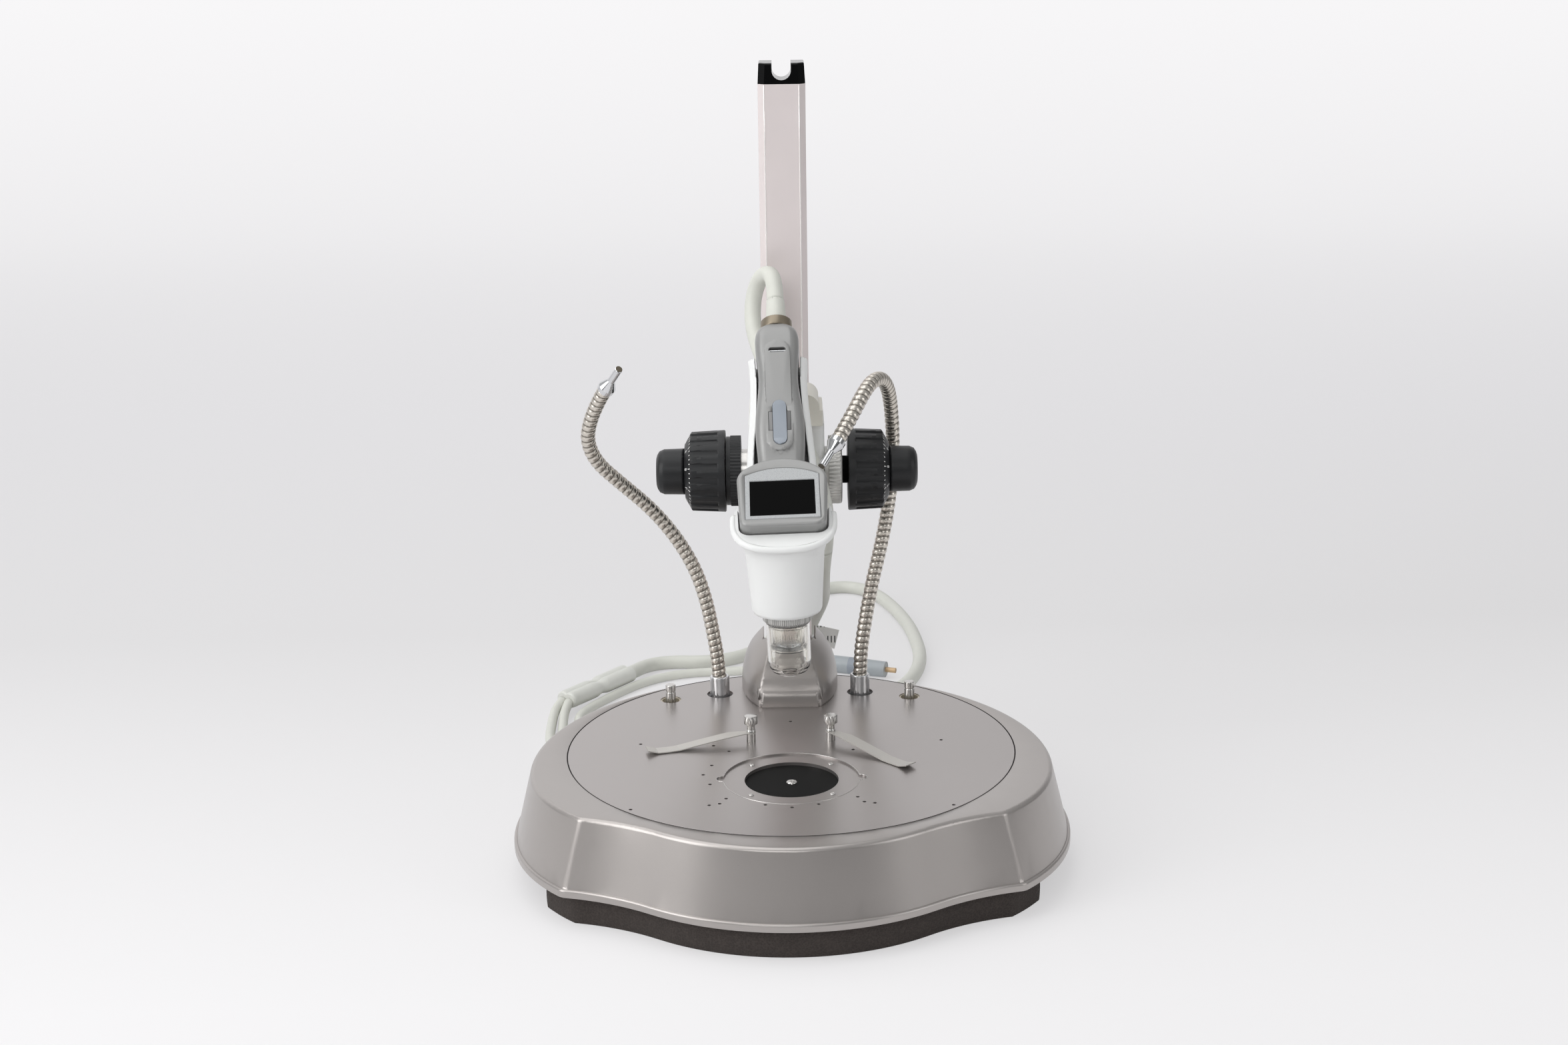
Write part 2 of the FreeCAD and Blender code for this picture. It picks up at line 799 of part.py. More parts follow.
def make_foot_cover():
    """The sculpted cover round the column's foot: a domed bell behind a bevelled front block."""
    front = cover_front_width / 2
    # Share of the height, share of the half width, front half width, how far the front has moved back.
    levels = [
        (0.0, 1.0, front * 0.97, 1.0),
        (0.30, 0.985, front * 0.93, 3.0),
        (0.52, 0.93, front * 0.86, 8.0),
        (0.70, 0.84, front * 0.76, 14.5),
        (0.86, 0.71, front * 0.66, 21.5),
        (1.0, cover_collar_half_width / cover_half_width + 0.02, front * 0.58, 28.0),
    ]
    sections = []
    for share, width, front_half, setback in levels:
        z = stage_z + cover_height * share
        sections.append(cover_section(z, cover_half_width * width, front_half, cover_front_y + setback))
    bell = Part.makeLoft(sections, True, False)
    block_top = stage_z + cover_block_height
    outline = [
        Vector(0, cover_front_y, stage_z),
        Vector(0, cover_front_y, block_top - cover_bevel),
        Vector(0, cover_front_y + cover_bevel, block_top),
        Vector(0, cover_front_y + cover_bevel + 9.0, block_top),
        Vector(0, cover_front_y + cover_bevel + 9.0, stage_z),
    ]
    block = Part.Face(Part.makePolygon(outline + outline[:1])).extrude(Vector(cover_front_width, 0, 0))
    block.translate(Vector(-front, 0, 0))
    for side in (-1, 1):
        corner = [
            Vector(side * (front + 1), cover_front_y - 1, 0),
            Vector(side * (front - 2.6), cover_front_y - 1, 0),
            Vector(side * (front + 1), cover_front_y + 22, 0),
        ]
        shave = Part.Face(Part.makePolygon(corner + corner[:1])).extrude(Vector(0, 0, 200))
        tipped = shave.copy()
        tipped.rotate(Vector(side * front, 0, stage_z), Vector(0, 1, 0), -side * 12)
        block = block.cut(tipped)
    cover = bell.fuse(block)
    cover = cover.cut(column_block(cover_gap, stage_z - 1, stage_z + cover_height + 5))
    open_half = column_width / 2 + cover_gap
    cover = cover.cut(
        box(
            -open_half,
            open_half,
            column_back_y - 2,
            column_back_y + 5,
            stage_z - 1,
            stage_z + cover_height + 5,
        ),
    )
    hollow_z = stage_z + cover_height - cover_hollow_depth
    return cover.cut(column_block(cover_hollow, hollow_z, stage_z + cover_height + 5))


# Focusing carriage
def dovetail(half_front, half_back, y0, y1, z0, z1):
    """An upright prism that is wider at the back than at the front."""
    points = [
        Vector(-half_front, y0, z0),
        Vector(half_front, y0, z0),
        Vector(half_back, y1, z0),
        Vector(-half_back, y1, z0),
    ]
    return Part.Face(Part.makePolygon(points + points[:1])).extrude(Vector(0, 0, z1 - z0))


def make_focus_housing():
    """The cast block that wraps the column and carries the drive shaft, with a dovetail way in front."""
    back_y = column_back_y + housing_back_wall
    body = box(
        -housing_half_width,
        housing_half_width,
        housing_front_y,
        back_y,
        housing_bottom_z,
        housing_top_z,
    )
    upright = edges_where(body, lambda edge, m: abs(edge.Vertexes[0].Z - edge.Vertexes[-1].Z) > 10)
    body = body.makeFillet(3.0, upright)
    body = body.cut(column_block(column_clearance, housing_bottom_z - 1, housing_top_z + 1))
    spread = slide_half_width + dovetail_spread
    way = dovetail(
        slide_half_width + slide_clearance - way_lead,
        spread + slide_clearance,
        housing_front_y - 0.5,
        slide_back_y + slide_clearance,
        housing_bottom_z - 1,
        housing_top_z + 1,
    )
    tunnel = box(
        -rack_width / 2 - 0.6,
        rack_width / 2 + 0.6,
        slide_back_y - 1,
        knob_y + pitch_radius + 1.5,
        housing_bottom_z - 1,
        housing_top_z + 1,
    )
    bore = Part.makeCylinder(
        sleeve_radius + fit_clearance, 80, Vector(-40, knob_y, knob_z), Vector(1, 0, 0)
    )
    return body.cut(way).cut(tunnel).cut(bore)


def make_focus_slide():
    """The moulded slide: a dovetail tongue in the housing's way and a head that rests on the housing."""
    tongue = dovetail(
        slide_half_width,
        slide_half_width + dovetail_spread,
        housing_front_y,
        slide_back_y,
        slide_bottom_z,
        housing_top_z + stop_gap,
    )
    pad = box(
        -slide_half_width,
        slide_half_width,
        slide_front_y,
        housing_front_y,
        slide_bottom_z,
        housing_top_z + stop_gap,
    )
    head_z = housing_top_z + stop_gap
    head_top = head_z + slide_head_height
    w = slide_head_half_width
    head = box(-w, w, slide_front_y, slide_head_back_y, head_z, head_top)
    cap = box(
        -slide_cap_half_width,
        slide_cap_half_width,
        slide_front_y,
        slide_head_back_y,
        head_top,
        head_top + slide_cap_height,
    )
    sides = edges_where(
        cap,
        lambda edge,
        m: m.z > head_top + slide_cap_height - 0.01 and abs(m.x) > slide_cap_half_width - 0.01,
    )
    cap = cap.makeFillet(slide_cap_round, sides)
    return tongue.fuse(pad).fuse(head).fuse(cap)


def make_rack():
    """The brass rack on the back of the slide; its teeth face the pinion."""
    tip_y = rack_pitch_y + gear_module - 0.02
    root_y = rack_pitch_y - gear_module - tooth_gap
    pitch = math.pi * gear_module
    half_tip = pitch / 4 - gear_module * math.tan(math.radians(pressure_angle)) - backlash / 4
    half_root = half_tip + (tip_y - root_y) * math.tan(math.radians(pressure_angle))
    bottom = knob_z - rack_height * 0.68
    top = knob_z + rack_height * 0.32
    points = [Vector(0, slide_back_y, bottom), Vector(0, root_y, bottom)]
    first = math.ceil((bottom + half_root + 0.1 - knob_z) / pitch - 0.5)
    last = math.floor((top - half_root - 0.1 - knob_z) / pitch - 0.5)
    for i in range(first, last + 1):
        centre = knob_z + (i + 0.5) * pitch
        points.append(Vector(0, root_y, centre - half_root))
        points.append(Vector(0, tip_y, centre - half_tip))
        points.append(Vector(0, tip_y, centre + half_tip))
        points.append(Vector(0, root_y, centre + half_root))
    points.append(Vector(0, root_y, top))
    points.append(Vector(0, slide_back_y, top))
    bar = Part.Face(Part.makePolygon(points + points[:1])).extrude(Vector(rack_width, 0, 0))
    bar.translate(Vector(-rack_width / 2, 0, 0))
    return bar


def involute_flank(base_radius, start_radius, end_radius, steps):
    """Points of an involute as (radius, polar angle), counted from where it leaves the base circle."""
    flank = []
    for i in range(steps + 1):
        r = start_radius + (end_radius - start_radius) * i / steps
        roll = math.sqrt(max((r / base_radius) ** 2 - 1, 0))
        flank.append((r, roll - math.atan(roll)))
    return flank


def make_drive_sleeve():
    """The hollow coarse shaft with the pinion cut in its middle."""
    base_radius = pitch_radius * math.cos(math.radians(pressure_angle))
    tip_radius_gear = pitch_radius + gear_module - 0.02
    root_radius = pitch_radius - gear_module - tooth_gap
    inv_pitch = math.tan(math.radians(pressure_angle)) - math.radians(pressure_angle)
    half_angle = math.pi / (2 * pinion_teeth) - backlash / 4 / pitch_radius + inv_pitch
    flank = involute_flank(base_radius, base_radius, tip_radius_gear, 4)
    points = []
    for tooth in range(pinion_teeth):
        # A tooth points straight at the rack, where the rack has a gap.
        centre = math.pi + 2 * math.pi * tooth / pinion_teeth
        points.append((root_radius, centre - half_angle))
        points.extend((r, centre - half_angle + turn) for r, turn in flank)
        points.extend((r, centre + half_angle - turn) for r, turn in flank[::-1])
        points.append((root_radius, centre + half_angle))
    corners = [Vector(0, knob_y + r * math.cos(a), knob_z + r * math.sin(a)) for r, a in points]
    width = rack_width + 1.0
    gear = Part.Face(Part.makePolygon(corners + corners[:1])).extrude(Vector(width, 0, 0))
    gear.translate(Vector(-width / 2, 0, 0))
    length = 2 * (coarse_inner_x + coarse_length)
    waist = root_radius - 0.3
    start = -length / 2
    inner = width / 2
    profile = [
        (start, 0),
        (start, sleeve_radius),
        (-inner, sleeve_radius),
        (-inner, min(waist, sleeve_radius)),
        (inner, min(waist, sleeve_radius)),
        (inner, sleeve_radius),
        (-start, sleeve_radius),
        (-start, 0),
    ]
    shaft = turned_x(profile).fuse(gear)
    return shaft.cut(
        Part.makeCylinder(
            fine_shaft_radius + fit_clearance,
            length + 2,
            Vector(start - 1, knob_y, knob_z),
            Vector(1, 0, 0),
        ),
    )


def make_left_bush():
    """The fixed black bush on the housing's left that the tension ring turns on."""
    inner = housing_half_width
    seat_end = tension_ring_inner_x + tension_ring_length - 0.4
    profile = [
        (inner, sleeve_radius + fit_clearance),
        (inner, left_bush_radius),
        (inner + left_bush_length, left_bush_radius),
        (inner + left_bush_length, ring_seat_radius),
        (seat_end, ring_seat_radius),
        (seat_end, sleeve_radius + fit_clearance),
    ]
    return turned_x(profile, -1)


def make_right_bush():
    """The fixed steel bush on the housing's right that the lock ring turns on."""
    inner = housing_half_width
    seat_end = lock_ring_inner_x + lock_ring_length - 0.2
    profile = [
        (inner, sleeve_radius + fit_clearance),
        (inner, lock_boss_radius),
        (lock_ring_inner_x - 0.1, lock_boss_radius),
        (lock_ring_inner_x - 0.1, ring_seat_radius),
        (seat_end, ring_seat_radius),
        (seat_end, sleeve_radius + fit_clearance),
    ]
    return turned_x(profile, 1)


def make_tension_ring():
    """The black knurled ring that sets how stiffly the coarse knobs turn."""
    ring = knurled_bar(tension_ring_radius, 0.45, 64, tension_ring_length * 0.72)
    ring = along_x(ring, -tension_ring_inner_x - tension_ring_length * 0.72)
    collar = turned_x(
        [
            (tension_ring_inner_x + tension_ring_length * 0.72, ring_seat_radius + 1),
            (tension_ring_inner_x + tension_ring_length * 0.72, tension_ring_radius - 0.6),
            (tension_ring_inner_x + tension_ring_length, tension_ring_radius - 0.6),
            (tension_ring_inner_x + tension_ring_length, ring_seat_radius + 1),
        ],
        -1,
    )
    bore = Part.makeCylinder(
        ring_seat_radius + fit_clearance, 60, Vector(-70, knob_y, knob_z), Vector(1, 0, 0)
    )
    return ring.fuse(collar).cut(bore)


def make_lock_ring():
    """The bright knurled ring on the right, coarse ribs on one half of its width and fine on the other."""
    split = lock_ring_length * 0.2
    ring = knurled_bar(lock_ring_radius, 0.55, 56, lock_ring_length - split)
    ring = along_x(ring, lock_ring_inner_x)
    edge_x = lock_ring_inner_x + lock_ring_length
    rim = turned_x(
        [
            (edge_x - split, ring_seat_radius + 1),
            (edge_x - split, lock_ring_radius - 0.1),
            (edge_x - 0.7, lock_ring_radius - 0.1),
            (edge_x, lock_ring_radius - 0.9),
            (edge_x, ring_seat_radius + 1),
        ]
    )
    bore = Part.makeCylinder(
        ring_seat_radius + fit_clearance, 60, Vector(10, knob_y, knob_z), Vector(1, 0, 0)
    )
    return ring.fuse(rim).cut(bore)


def make_coarse_knob(side):
    """A coarse knob: hub, drafted grip with shallow flutes, and a sloping dial by the fine knob."""
    x0 = coarse_inner_x
    x1 = x0 + coarse_length
    outer = coarse_radius - coarse_draft
    ring_end = lock_ring_inner_x + lock_ring_length
    if side < 0:
        ring_end = tension_ring_inner_x + tension_ring_length
    hub_x = ring_end + 0.3
    profile = [
        (hub_x, sleeve_radius - 0.5),
        (hub_x, coarse_hub_radius),
        (x0, coarse_hub_radius),
        (x0, coarse_radius - 0.5),
        (x0 + 0.5, coarse_radius),
        (x1 - 0.5, outer),
        (x1, outer - 0.6),
        (x1 + coarse_dial_length, coarse_dial_radius),
        (x1 + coarse_dial_length, 13.0),
        (x1, 13.0),
        (x1, sleeve_radius - 0.5),
    ]
    knob = turned_x(profile, side)
    knob = knob.cut(Part.makeCylinder(sleeve_radius, 200, Vector(-100, knob_y, knob_z), Vector(1, 0, 0)))
    flutes = []
    start = x0 + flute_start
    slope = math.degrees(math.atan2(coarse_draft, coarse_length))
    for i in range(flute_count):
        flute = box(
            start,
            x1 + 1,
            -flute_width / 2,
            flute_width / 2,
            coarse_radius - flute_depth,
            coarse_radius + 2,
        )
        flute.rotate(Vector(x0, 0, coarse_radius), Vector(0, 1, 0), slope)
        if side < 0:
            flute = flute.mirror(Vector(0, 0, 0), Vector(1, 0, 0))
        flute.rotate(Vector(0, 0, 0), Vector(1, 0, 0), 360 * (i + 0.5) / flute_count)
        flute.translate(Vector(0, knob_y, knob_z))
        flutes.append(flute)
    return knob.cut(Part.makeCompound(flutes))


def make_fine_knob(side):
    """A fine knob: a plain soft-edged drum on the thin shaft."""
    x0 = coarse_inner_x + coarse_length + coarse_dial_length + fine_gap
    x1 = x0 + fine_length
    inner = coarse_inner_x + coarse_length + fine_gap
    profile = [
        (inner, 0),
        (inner, 12.4),
        (x0, 12.4),
        (x0, fine_radius),
        (x1 - fine_round, fine_radius - 0.3),
        (x1 - fine_round * 0.4, fine_radius - 1.6),
        (x1 - 0.6, fine_radius - 3.8),
        (x1, fine_radius - 5.8),
        (x1, 0),
    ]
    knob = turned_x(profile, side)
    return knob.cut(
        Part.makeCylinder(fine_shaft_radius, 200, Vector(-100, knob_y, knob_z), Vector(1, 0, 0))
    )


def make_fine_shaft():
    """The thin shaft through the sleeve that joins the two fine knobs."""
    half = coarse_inner_x + coarse_length + coarse_dial_length + fine_gap + fine_length * 0.7
    shaft = Part.makeCylinder(fine_shaft_radius, 2 * half, Vector(-half, knob_y, knob_z), Vector(1, 0, 0))
    return shaft


# Hand-held unit and holder
def leaned(shape):
    """The unit and its holder stand a little out of upright, turned about the lens tip."""
    copy = shape.copy()
    copy.rotate(Vector(0, 0, lean_pivot_z), Vector(0, 1, 0), -lean)
    return copy


def leaned_point(point):
    """Where a point of the unit goes when the unit leans."""
    turn = Rotation(Vector(0, 1, 0), -lean)
    pivot = Vector(0, 0, lean_pivot_z)
    return pivot + turn.multVec(point - pivot)


def on_plate(x, v, out=0.0):
    """A point on the screen head's face: x across, v up the face, out above it."""
    return screen_centre + Vector(x, 0, 0) + plate_up * v + plate_out * out


def on_handle(x, k, out):
    """A point of the handle: x across, k along its axis, out towards the user."""
    return handle_foot + Vector(x, 0, 0) + handle_run * k + handle_out * out


def plate_outline(inset, out):
    """The screen head's outline: straight sides, round lower corners and an arched top."""
    w = head_half_width - inset
    low = -head_low + inset
    arch = head_arch - inset
    r = head_corner_radius
    bend = r * (1 - math.sqrt(0.5))
    foot = w - head_foot_taper
    bulge = (w * 0.945, arch - head_bulge_drop)
    shoulder = (w * 0.8, arch - head_shoulder_drop)

    def spot(x, v):
        return on_plate(x, v, out)

    right_corner = Part.Arc(spot(foot - r, low), spot(foot - bend, low + bend), spot(foot, low + r))
    right_bulge = Part.Arc(spot(w, head_side_top), spot(*bulge), spot(*shoulder))
    crown = Part.Arc(spot(*shoulder), spot(0, arch), spot(-shoulder[0], shoulder[1]))
    left_bulge = Part.Arc(
        spot(-shoulder[0], shoulder[1]), spot(-bulge[0], bulge[1]), spot(-w, head_side_top)
    )
    left_corner = Part.Arc(spot(-foot, low + r), spot(-foot + bend, low + bend), spot(-foot + r, low))
    pieces = [
        Part.LineSegment(spot(-foot + r, low), spot(foot - r, low)),
        right_corner,
        Part.LineSegment(spot(foot, low + r), spot(w, head_side_top)),
        right_bulge,
        crown,
        left_bulge,
        Part.LineSegment(spot(-w, head_side_top), spot(-foot, low + r)),
        left_corner,
    ]
    return Part.Wire([piece.toShape() for piece in pieces])


def rounded_section(half_width, low, high, k, radius):
    """A rounded rectangle across the handle at k, from out = low to out = high."""
    w = half_width
    r = radius
    b = r * (1 - math.sqrt(0.5))
    pieces = [
        Part.LineSegment(on_handle(-w + r, k, low), on_handle(w - r, k, low)),
        Part.Arc(on_handle(w - r, k, low), on_handle(w - b, k, low + b), on_handle(w, k, low + r)),
        Part.LineSegment(on_handle(w, k, low + r), on_handle(w, k, high - r)),
        Part.Arc(on_handle(w, k, high - r), on_handle(w - b, k, high - b), on_handle(w - r, k, high)),
        Part.LineSegment(on_handle(w - r, k, high), on_handle(-w + r, k, high)),
        Part.Arc(on_handle(-w + r, k, high), on_handle(-w + b, k, high - b), on_handle(-w, k, high - r)),
        Part.LineSegment(on_handle(-w, k, high - r), on_handle(-w, k, low + r)),
        Part.Arc(on_handle(-w, k, low + r), on_handle(-w + b, k, low + b), on_handle(-w + r, k, low)),
    ]
    return Part.Wire([piece.toShape() for piece in pieces])


def handle_section(k, half_width, half_thickness, radius):
    """The handle's section at k."""
    return rounded_section(half_width, -half_thickness, half_thickness, k, radius)


def round_section_z(radius, z):
    """A circle about the lens axis at a height, as eight arcs to match the head's outline."""
    arcs = []
    for start, end in zip(outline_marks, outline_marks[1:]):
        spots = []
        for share in (0.0, 0.5, 1.0):
            angle = math.radians(start + (end - start) * share)
            spots.append(Vector(radius * math.cos(angle), lens_y + radius * math.sin(angle), z))
        arcs.append(Part.Arc(*spots).toShape())
    return Part.Wire(arcs)


def unit_form(inset):
    """The hand-held unit as one form: head, throat, barrel and handle, shrunk by an inset."""
    head = Part.Face(plate_outline(inset, -inset)).extrude(plate_out * (inset - head_wall))
    if inset == 0:
        face_edges = edges_where(head, lambda edge, m: abs((m - screen_centre).dot(plate_out)) < 0.01)
        head = head.makeFillet(head_edge_fillet, face_edges)
    radius = barrel_radius - inset
    sections = [
        plate_outline(0.4 + inset, 0.5 - head_wall),
        round_section_z(radius, throat_end_z),
        round_section_z(radius, barrel_bottom_z + inset),
    ]
    throat = Part.makeLoft(sections, True, True)
    end = handle_end - 5 - inset
    thick = handle_half_thickness - inset
    grip = Part.makeLoft(
        [
            handle_section(handle_start, handle_foot_half_width + 0.6 - inset, thick, 6),
            handle_section(16, handle_foot_half_width - inset, thick, 6),
            handle_section(46, handle_waist_half_width - inset, thick, 6),
            handle_section(end - 11, handle_half_width - inset, thick, 6),
            handle_section(end, handle_half_width * 0.92 - inset, handle_half_thickness * 0.9 - inset, 6),
            handle_section(
                handle_end - inset, gland_neck_radius - inset, gland_neck_radius - inset, 6 - inset
            ),
        ],
        True,
        False,
    )
    return head.fuse([throat, grip])


def make_unit_walls():
    """The hand-held unit's thin wall, with the raised panel on its handle and the way out for the cable."""
    panel = handle_bar(panel_half_width, panel_half_length, panel_centre, 0, panel_surface)
    walls = unit_form(0).fuse(panel).cut(unit_form(unit_wall))
    way_out = rod_between(on_handle(0, handle_end - 10, 0), on_handle(0, handle_end + 2, 0), cable_radius)
    return walls.cut(way_out)


def block_above_seam():
    """A block on the user's side of the seam between the unit's two shells."""
    front = Vector(0, seam_front_y, seam_front_z)
    bend = handle_foot
    end = handle_foot + handle_run * (handle_end + 30)
    before = front - (bend - front) * 0.5
    points = [before, bend, end, end + handle_out * 120, before + handle_out * 120]
    block = Part.Face(Part.makePolygon(points + points[:1])).extrude(Vector(200, 0, 0))
    block.translate(Vector(-100, 0, 0))
    return block


def handle_bar(half_width, half_length, k, low, high):
    """A long pill-shaped block standing on the handle, centred at k along it."""
    straight = half_length - half_width
    pieces = [
        Part.LineSegment(
            on_handle(half_width, k - straight, low), on_handle(half_width, k + straight, low)
        ),
        Part.Arc(
            on_handle(half_width, k + straight, low),
            on_handle(0, k + half_length, low),
            on_handle(-half_width, k + straight, low),
        ),
        Part.LineSegment(
            on_handle(-half_width, k + straight, low), on_handle(-half_width, k - straight, low)
        ),
        Part.Arc(
            on_handle(-half_width, k - straight, low),
            on_handle(0, k - half_length, low),
            on_handle(half_width, k - straight, low),
        ),
    ]
    return Part.Face(Part.Wire([p.toShape() for p in pieces])).extrude(handle_out * (high - low))


def handle_block(half_width, half_length, k, low, high):
    """A square-cornered block on the handle."""
    spots = [
        (-half_width, -half_length),
        (half_width, -half_length),
        (half_width, half_length),
        (-half_width, half_length),
    ]
    points = [on_handle(x, k + v, low) for x, v in spots]
    return Part.Face(Part.makePolygon(points + points[:1])).extrude(handle_out * (high - low))


def make_unit_shells():
    """Front and rear shells of the hand-held unit, with the seats of the screen, button and strap bar."""
    body = make_unit_walls()
    front = body.common(block_above_seam())
    rear = body.cut(block_above_seam())
    surface = panel_surface
    screen_seat = Part.Face(bezel_outline(-0.1)).extrude(plate_out * -1.2)
    button_seat = handle_bar(
        button_width / 2 + button_clearance,
        button_length / 2 + button_clearance,
        button_centre,
        surface - button_depth - button_travel - 0.4,
        surface + 3,
    )
    tab_seat = handle_block(
        tab_width / 2 + button_clearance,
        tab_length / 2 + button_clearance,
        button_centre + 1.0,
        surface - button_depth - button_travel - 0.4,
        surface + 3,
    )
    slot = handle_bar(slot_height / 2, slot_width / 2, slot_centre, surface - slot_depth, surface + 3)
    slot.rotate(on_handle(0, slot_centre, surface), handle_out, 90)
    front = front.cut(screen_seat).cut(button_seat.fuse(tab_seat)).cut(slot)
    rear = rear.cut(disc(lens_ring_bore, barrel_bottom_z - 1, barrel_bottom_z + 6, 0, lens_y))
    return front, rear


def make_circuit_board():
    """The circuit board along the handle, on two posts that stand on the rear shell."""
    board = handle_block(board_half_width, board_half_length, board_centre, -board_thickness, 0)
    parts = [
        handle_block(4.5, 4.5, board_centre - 14, 0, 1.4),
        handle_block(6.0, 3.0, board_centre + 4, 0, 1.2),
        handle_block(3.0, 6.0, board_centre + 22, 0, 1.8),
    ]
    for k in (board_centre - 20, board_centre + 20):
        parts.append(
            rod_between(
                on_handle(0, k, -board_thickness), on_handle(0, k, -handle_half_thickness + 1), 2.4
            ),
        )
    return board.fuse(parts)


def make_camera_module():
    """The image sensor's holder above the lens, seated in the barrel."""
    seat_z = barrel_bottom_z + 6.0
    profile = [
        (4.0, seat_z),
        (barrel_radius - unit_wall - 0.1, seat_z),
        (barrel_radius - unit_wall - 0.1, seat_z + 5.0),
        (9.5, seat_z + 5.0),
        (9.5, seat_z + 18.0),
        (0, seat_z + 18.0),
        (0, seat_z + 14.0),
        (4.0, seat_z + 14.0),
    ]
    return turned_z(profile, 0, lens_y)


def bezel_outline(grow):
    """The screen's surround on the head's face: square foot, arched top; grow below 0 makes it larger."""
    w = screen_width / 2 + 3.0 - grow
    low = -screen_length / 2 - 3.0 + grow
    top = screen_length / 2 + 4.6 - grow
    arch = screen_length / 2 + 10.2 - grow
    pieces = [
        Part.LineSegment(on_plate(-w, low, 0), on_plate(w, low, 0)),
        Part.LineSegment(on_plate(w, low, 0), on_plate(w, top, 0)),
        Part.Arc(on_plate(w, top, 0), on_plate(0, arch, 0), on_plate(-w, top, 0)),
        Part.LineSegment(on_plate(-w, top, 0), on_plate(-w, low, 0)),
    ]
    return Part.Wire([p.toShape() for p in pieces])


def screen_block(grow, low, high):
    """A block with the screen's size on the head's face."""
    w = screen_width / 2 + grow
    v = screen_length / 2 + grow
    points = [on_plate(-w, -v, low), on_plate(w, -v, low), on_plate(w, v, low), on_plate(-w, v, low)]
    return Part.Face(Part.makePolygon(points + points[:1])).extrude(plate_out * (high - low))


def make_screen_bezel():
    """The pale surround of the screen, set in the head's face."""
    panel = Part.Face(bezel_outline(0)).extrude(plate_out * -1.2)
    return panel.cut(screen_block(0, -3, 1))


def make_screen_window():
    """The dark screen glass."""
    return screen_block(-0.05, -1.2, -0.35)


def make_button():
    """The long button on the handle, with its two side tabs."""
    surface = panel_surface
    low = surface - button_depth
    bar = handle_bar(button_width / 2, button_length / 2, button_centre, low, surface + button_proud)
    tabs = handle_block(tab_width / 2, tab_length / 2, button_centre + 1.0, low, surface + 0.1)
    return bar.fuse(tabs)


def make_strap_bar():
    """The chrome bar across the strap slot."""
    out = panel_surface - slot_depth + strap_bar_radius + 0.4
    half = slot_width / 2 - 0.2
    return rod_between(
        on_handle(-half, slot_centre, out), on_handle(half, slot_centre, out), strap_bar_radius
    )


def make_gland():
    """The brass ring at the top of the handle, where the cable leaves."""
    start = on_handle(0, handle_end, 0)
    ring = Part.makeCylinder(gland_radius, gland_length, start, handle_run)
    rims = edges_where(ring, lambda edge, m: edge.Curve.TypeId == "Part::GeomCircle")
    return ring.makeChamfer(0.6, rims)


def make_cable_relief():
    """The thicker sleeve on the cable next to the gland."""
    start = on_handle(0, gland_end, 0)
    return Part.makeCone(relief_radius, cable_radius + 0.4, relief_length, start, handle_run)


def make_lens_ring():
    """The knurled ring that turns at the foot of the lens barrel, with its dark band below."""
    top = barrel_bottom_z - 0.1
    low = top - lens_ring_height
    ring = knurled_bar(lens_ring_radius, 0.4, 56, lens_ring_height)
    ring.translate(Vector(0, lens_y, low))
    spigot = disc(lens_ring_bore - fit_clearance, low, barrel_bottom_z + 5.5, 0, lens_y)
    band = disc(lens_band_radius, low - lens_band_height, low, 0, lens_y)
    bore = disc(tube_radius - tube_wall, low - 10, barrel_bottom_z + 10, 0, lens_y)
    return ring.fuse(spigot).fuse(band).cut(bore)


def make_clear_tip():
    """The clear nose: a thin drum, rounded below, open at a small mouth."""
    top = barrel_bottom_z - 0.1 - lens_ring_height - lens_band_height
    low = tip_bottom_z
    r = tip_radius
    t = tip_wall
    profile = [
        (tip_mouth_radius, low),
        (r * 0.58, low + 0.5),
        (r * 0.82, low + 2.4),
        (r * 0.95, low + 5.2),
        (r, low + 9.0),
        (r, top),
        (tube_radius - tube_wall, top),
        (tube_radius - tube_wall, top - 1.4),
        (r - t, top - 1.4),
        (r - t, low + 9.2),
        (r * 0.95 - t, low + 5.9),
        (r * 0.80 - t, low + 3.4),
        (r * 0.55 - t * 0.6, low + 1.9),
        (tip_mouth_radius, low + 1.5),
    ]
    return turned_z(profile, 0, lens_y)


def make_lens_tube():
    """The inner lens tube seen through the clear nose, hung from the ring."""
    top = barrel_bottom_z - 0.1 - lens_ring_height - lens_band_height - 1.5
    low = tip_bottom_z + 16.0
    ring = tube_radius
    profile = [
        (ring - tube_wall, top),
        (tip_radius - tip_wall - 0.1, top),
        (tip_radius - tip_wall - 0.1, top - 1.2),
        (ring, top - 1.2),
        (ring, low + 3.0),
        (ring + 1.4, low + 3.0),
        (ring + 1.4, low),
        (ring - tube_wall, low),
    ]
    return turned_z(profile, 0, lens_y)


def make_front_lens():
    """The front lens element, seated in the foot of the inner tube."""
    low = tip_bottom_z + 16.0
    r = tube_radius - tube_wall
    profile = [(0, low - 0.9), (r * 0.6, low - 0.4), (r, low + 0.6), (r, low + 3.0), (0, low + 3.6)]
    return turned_z(profile, 0, lens_y)


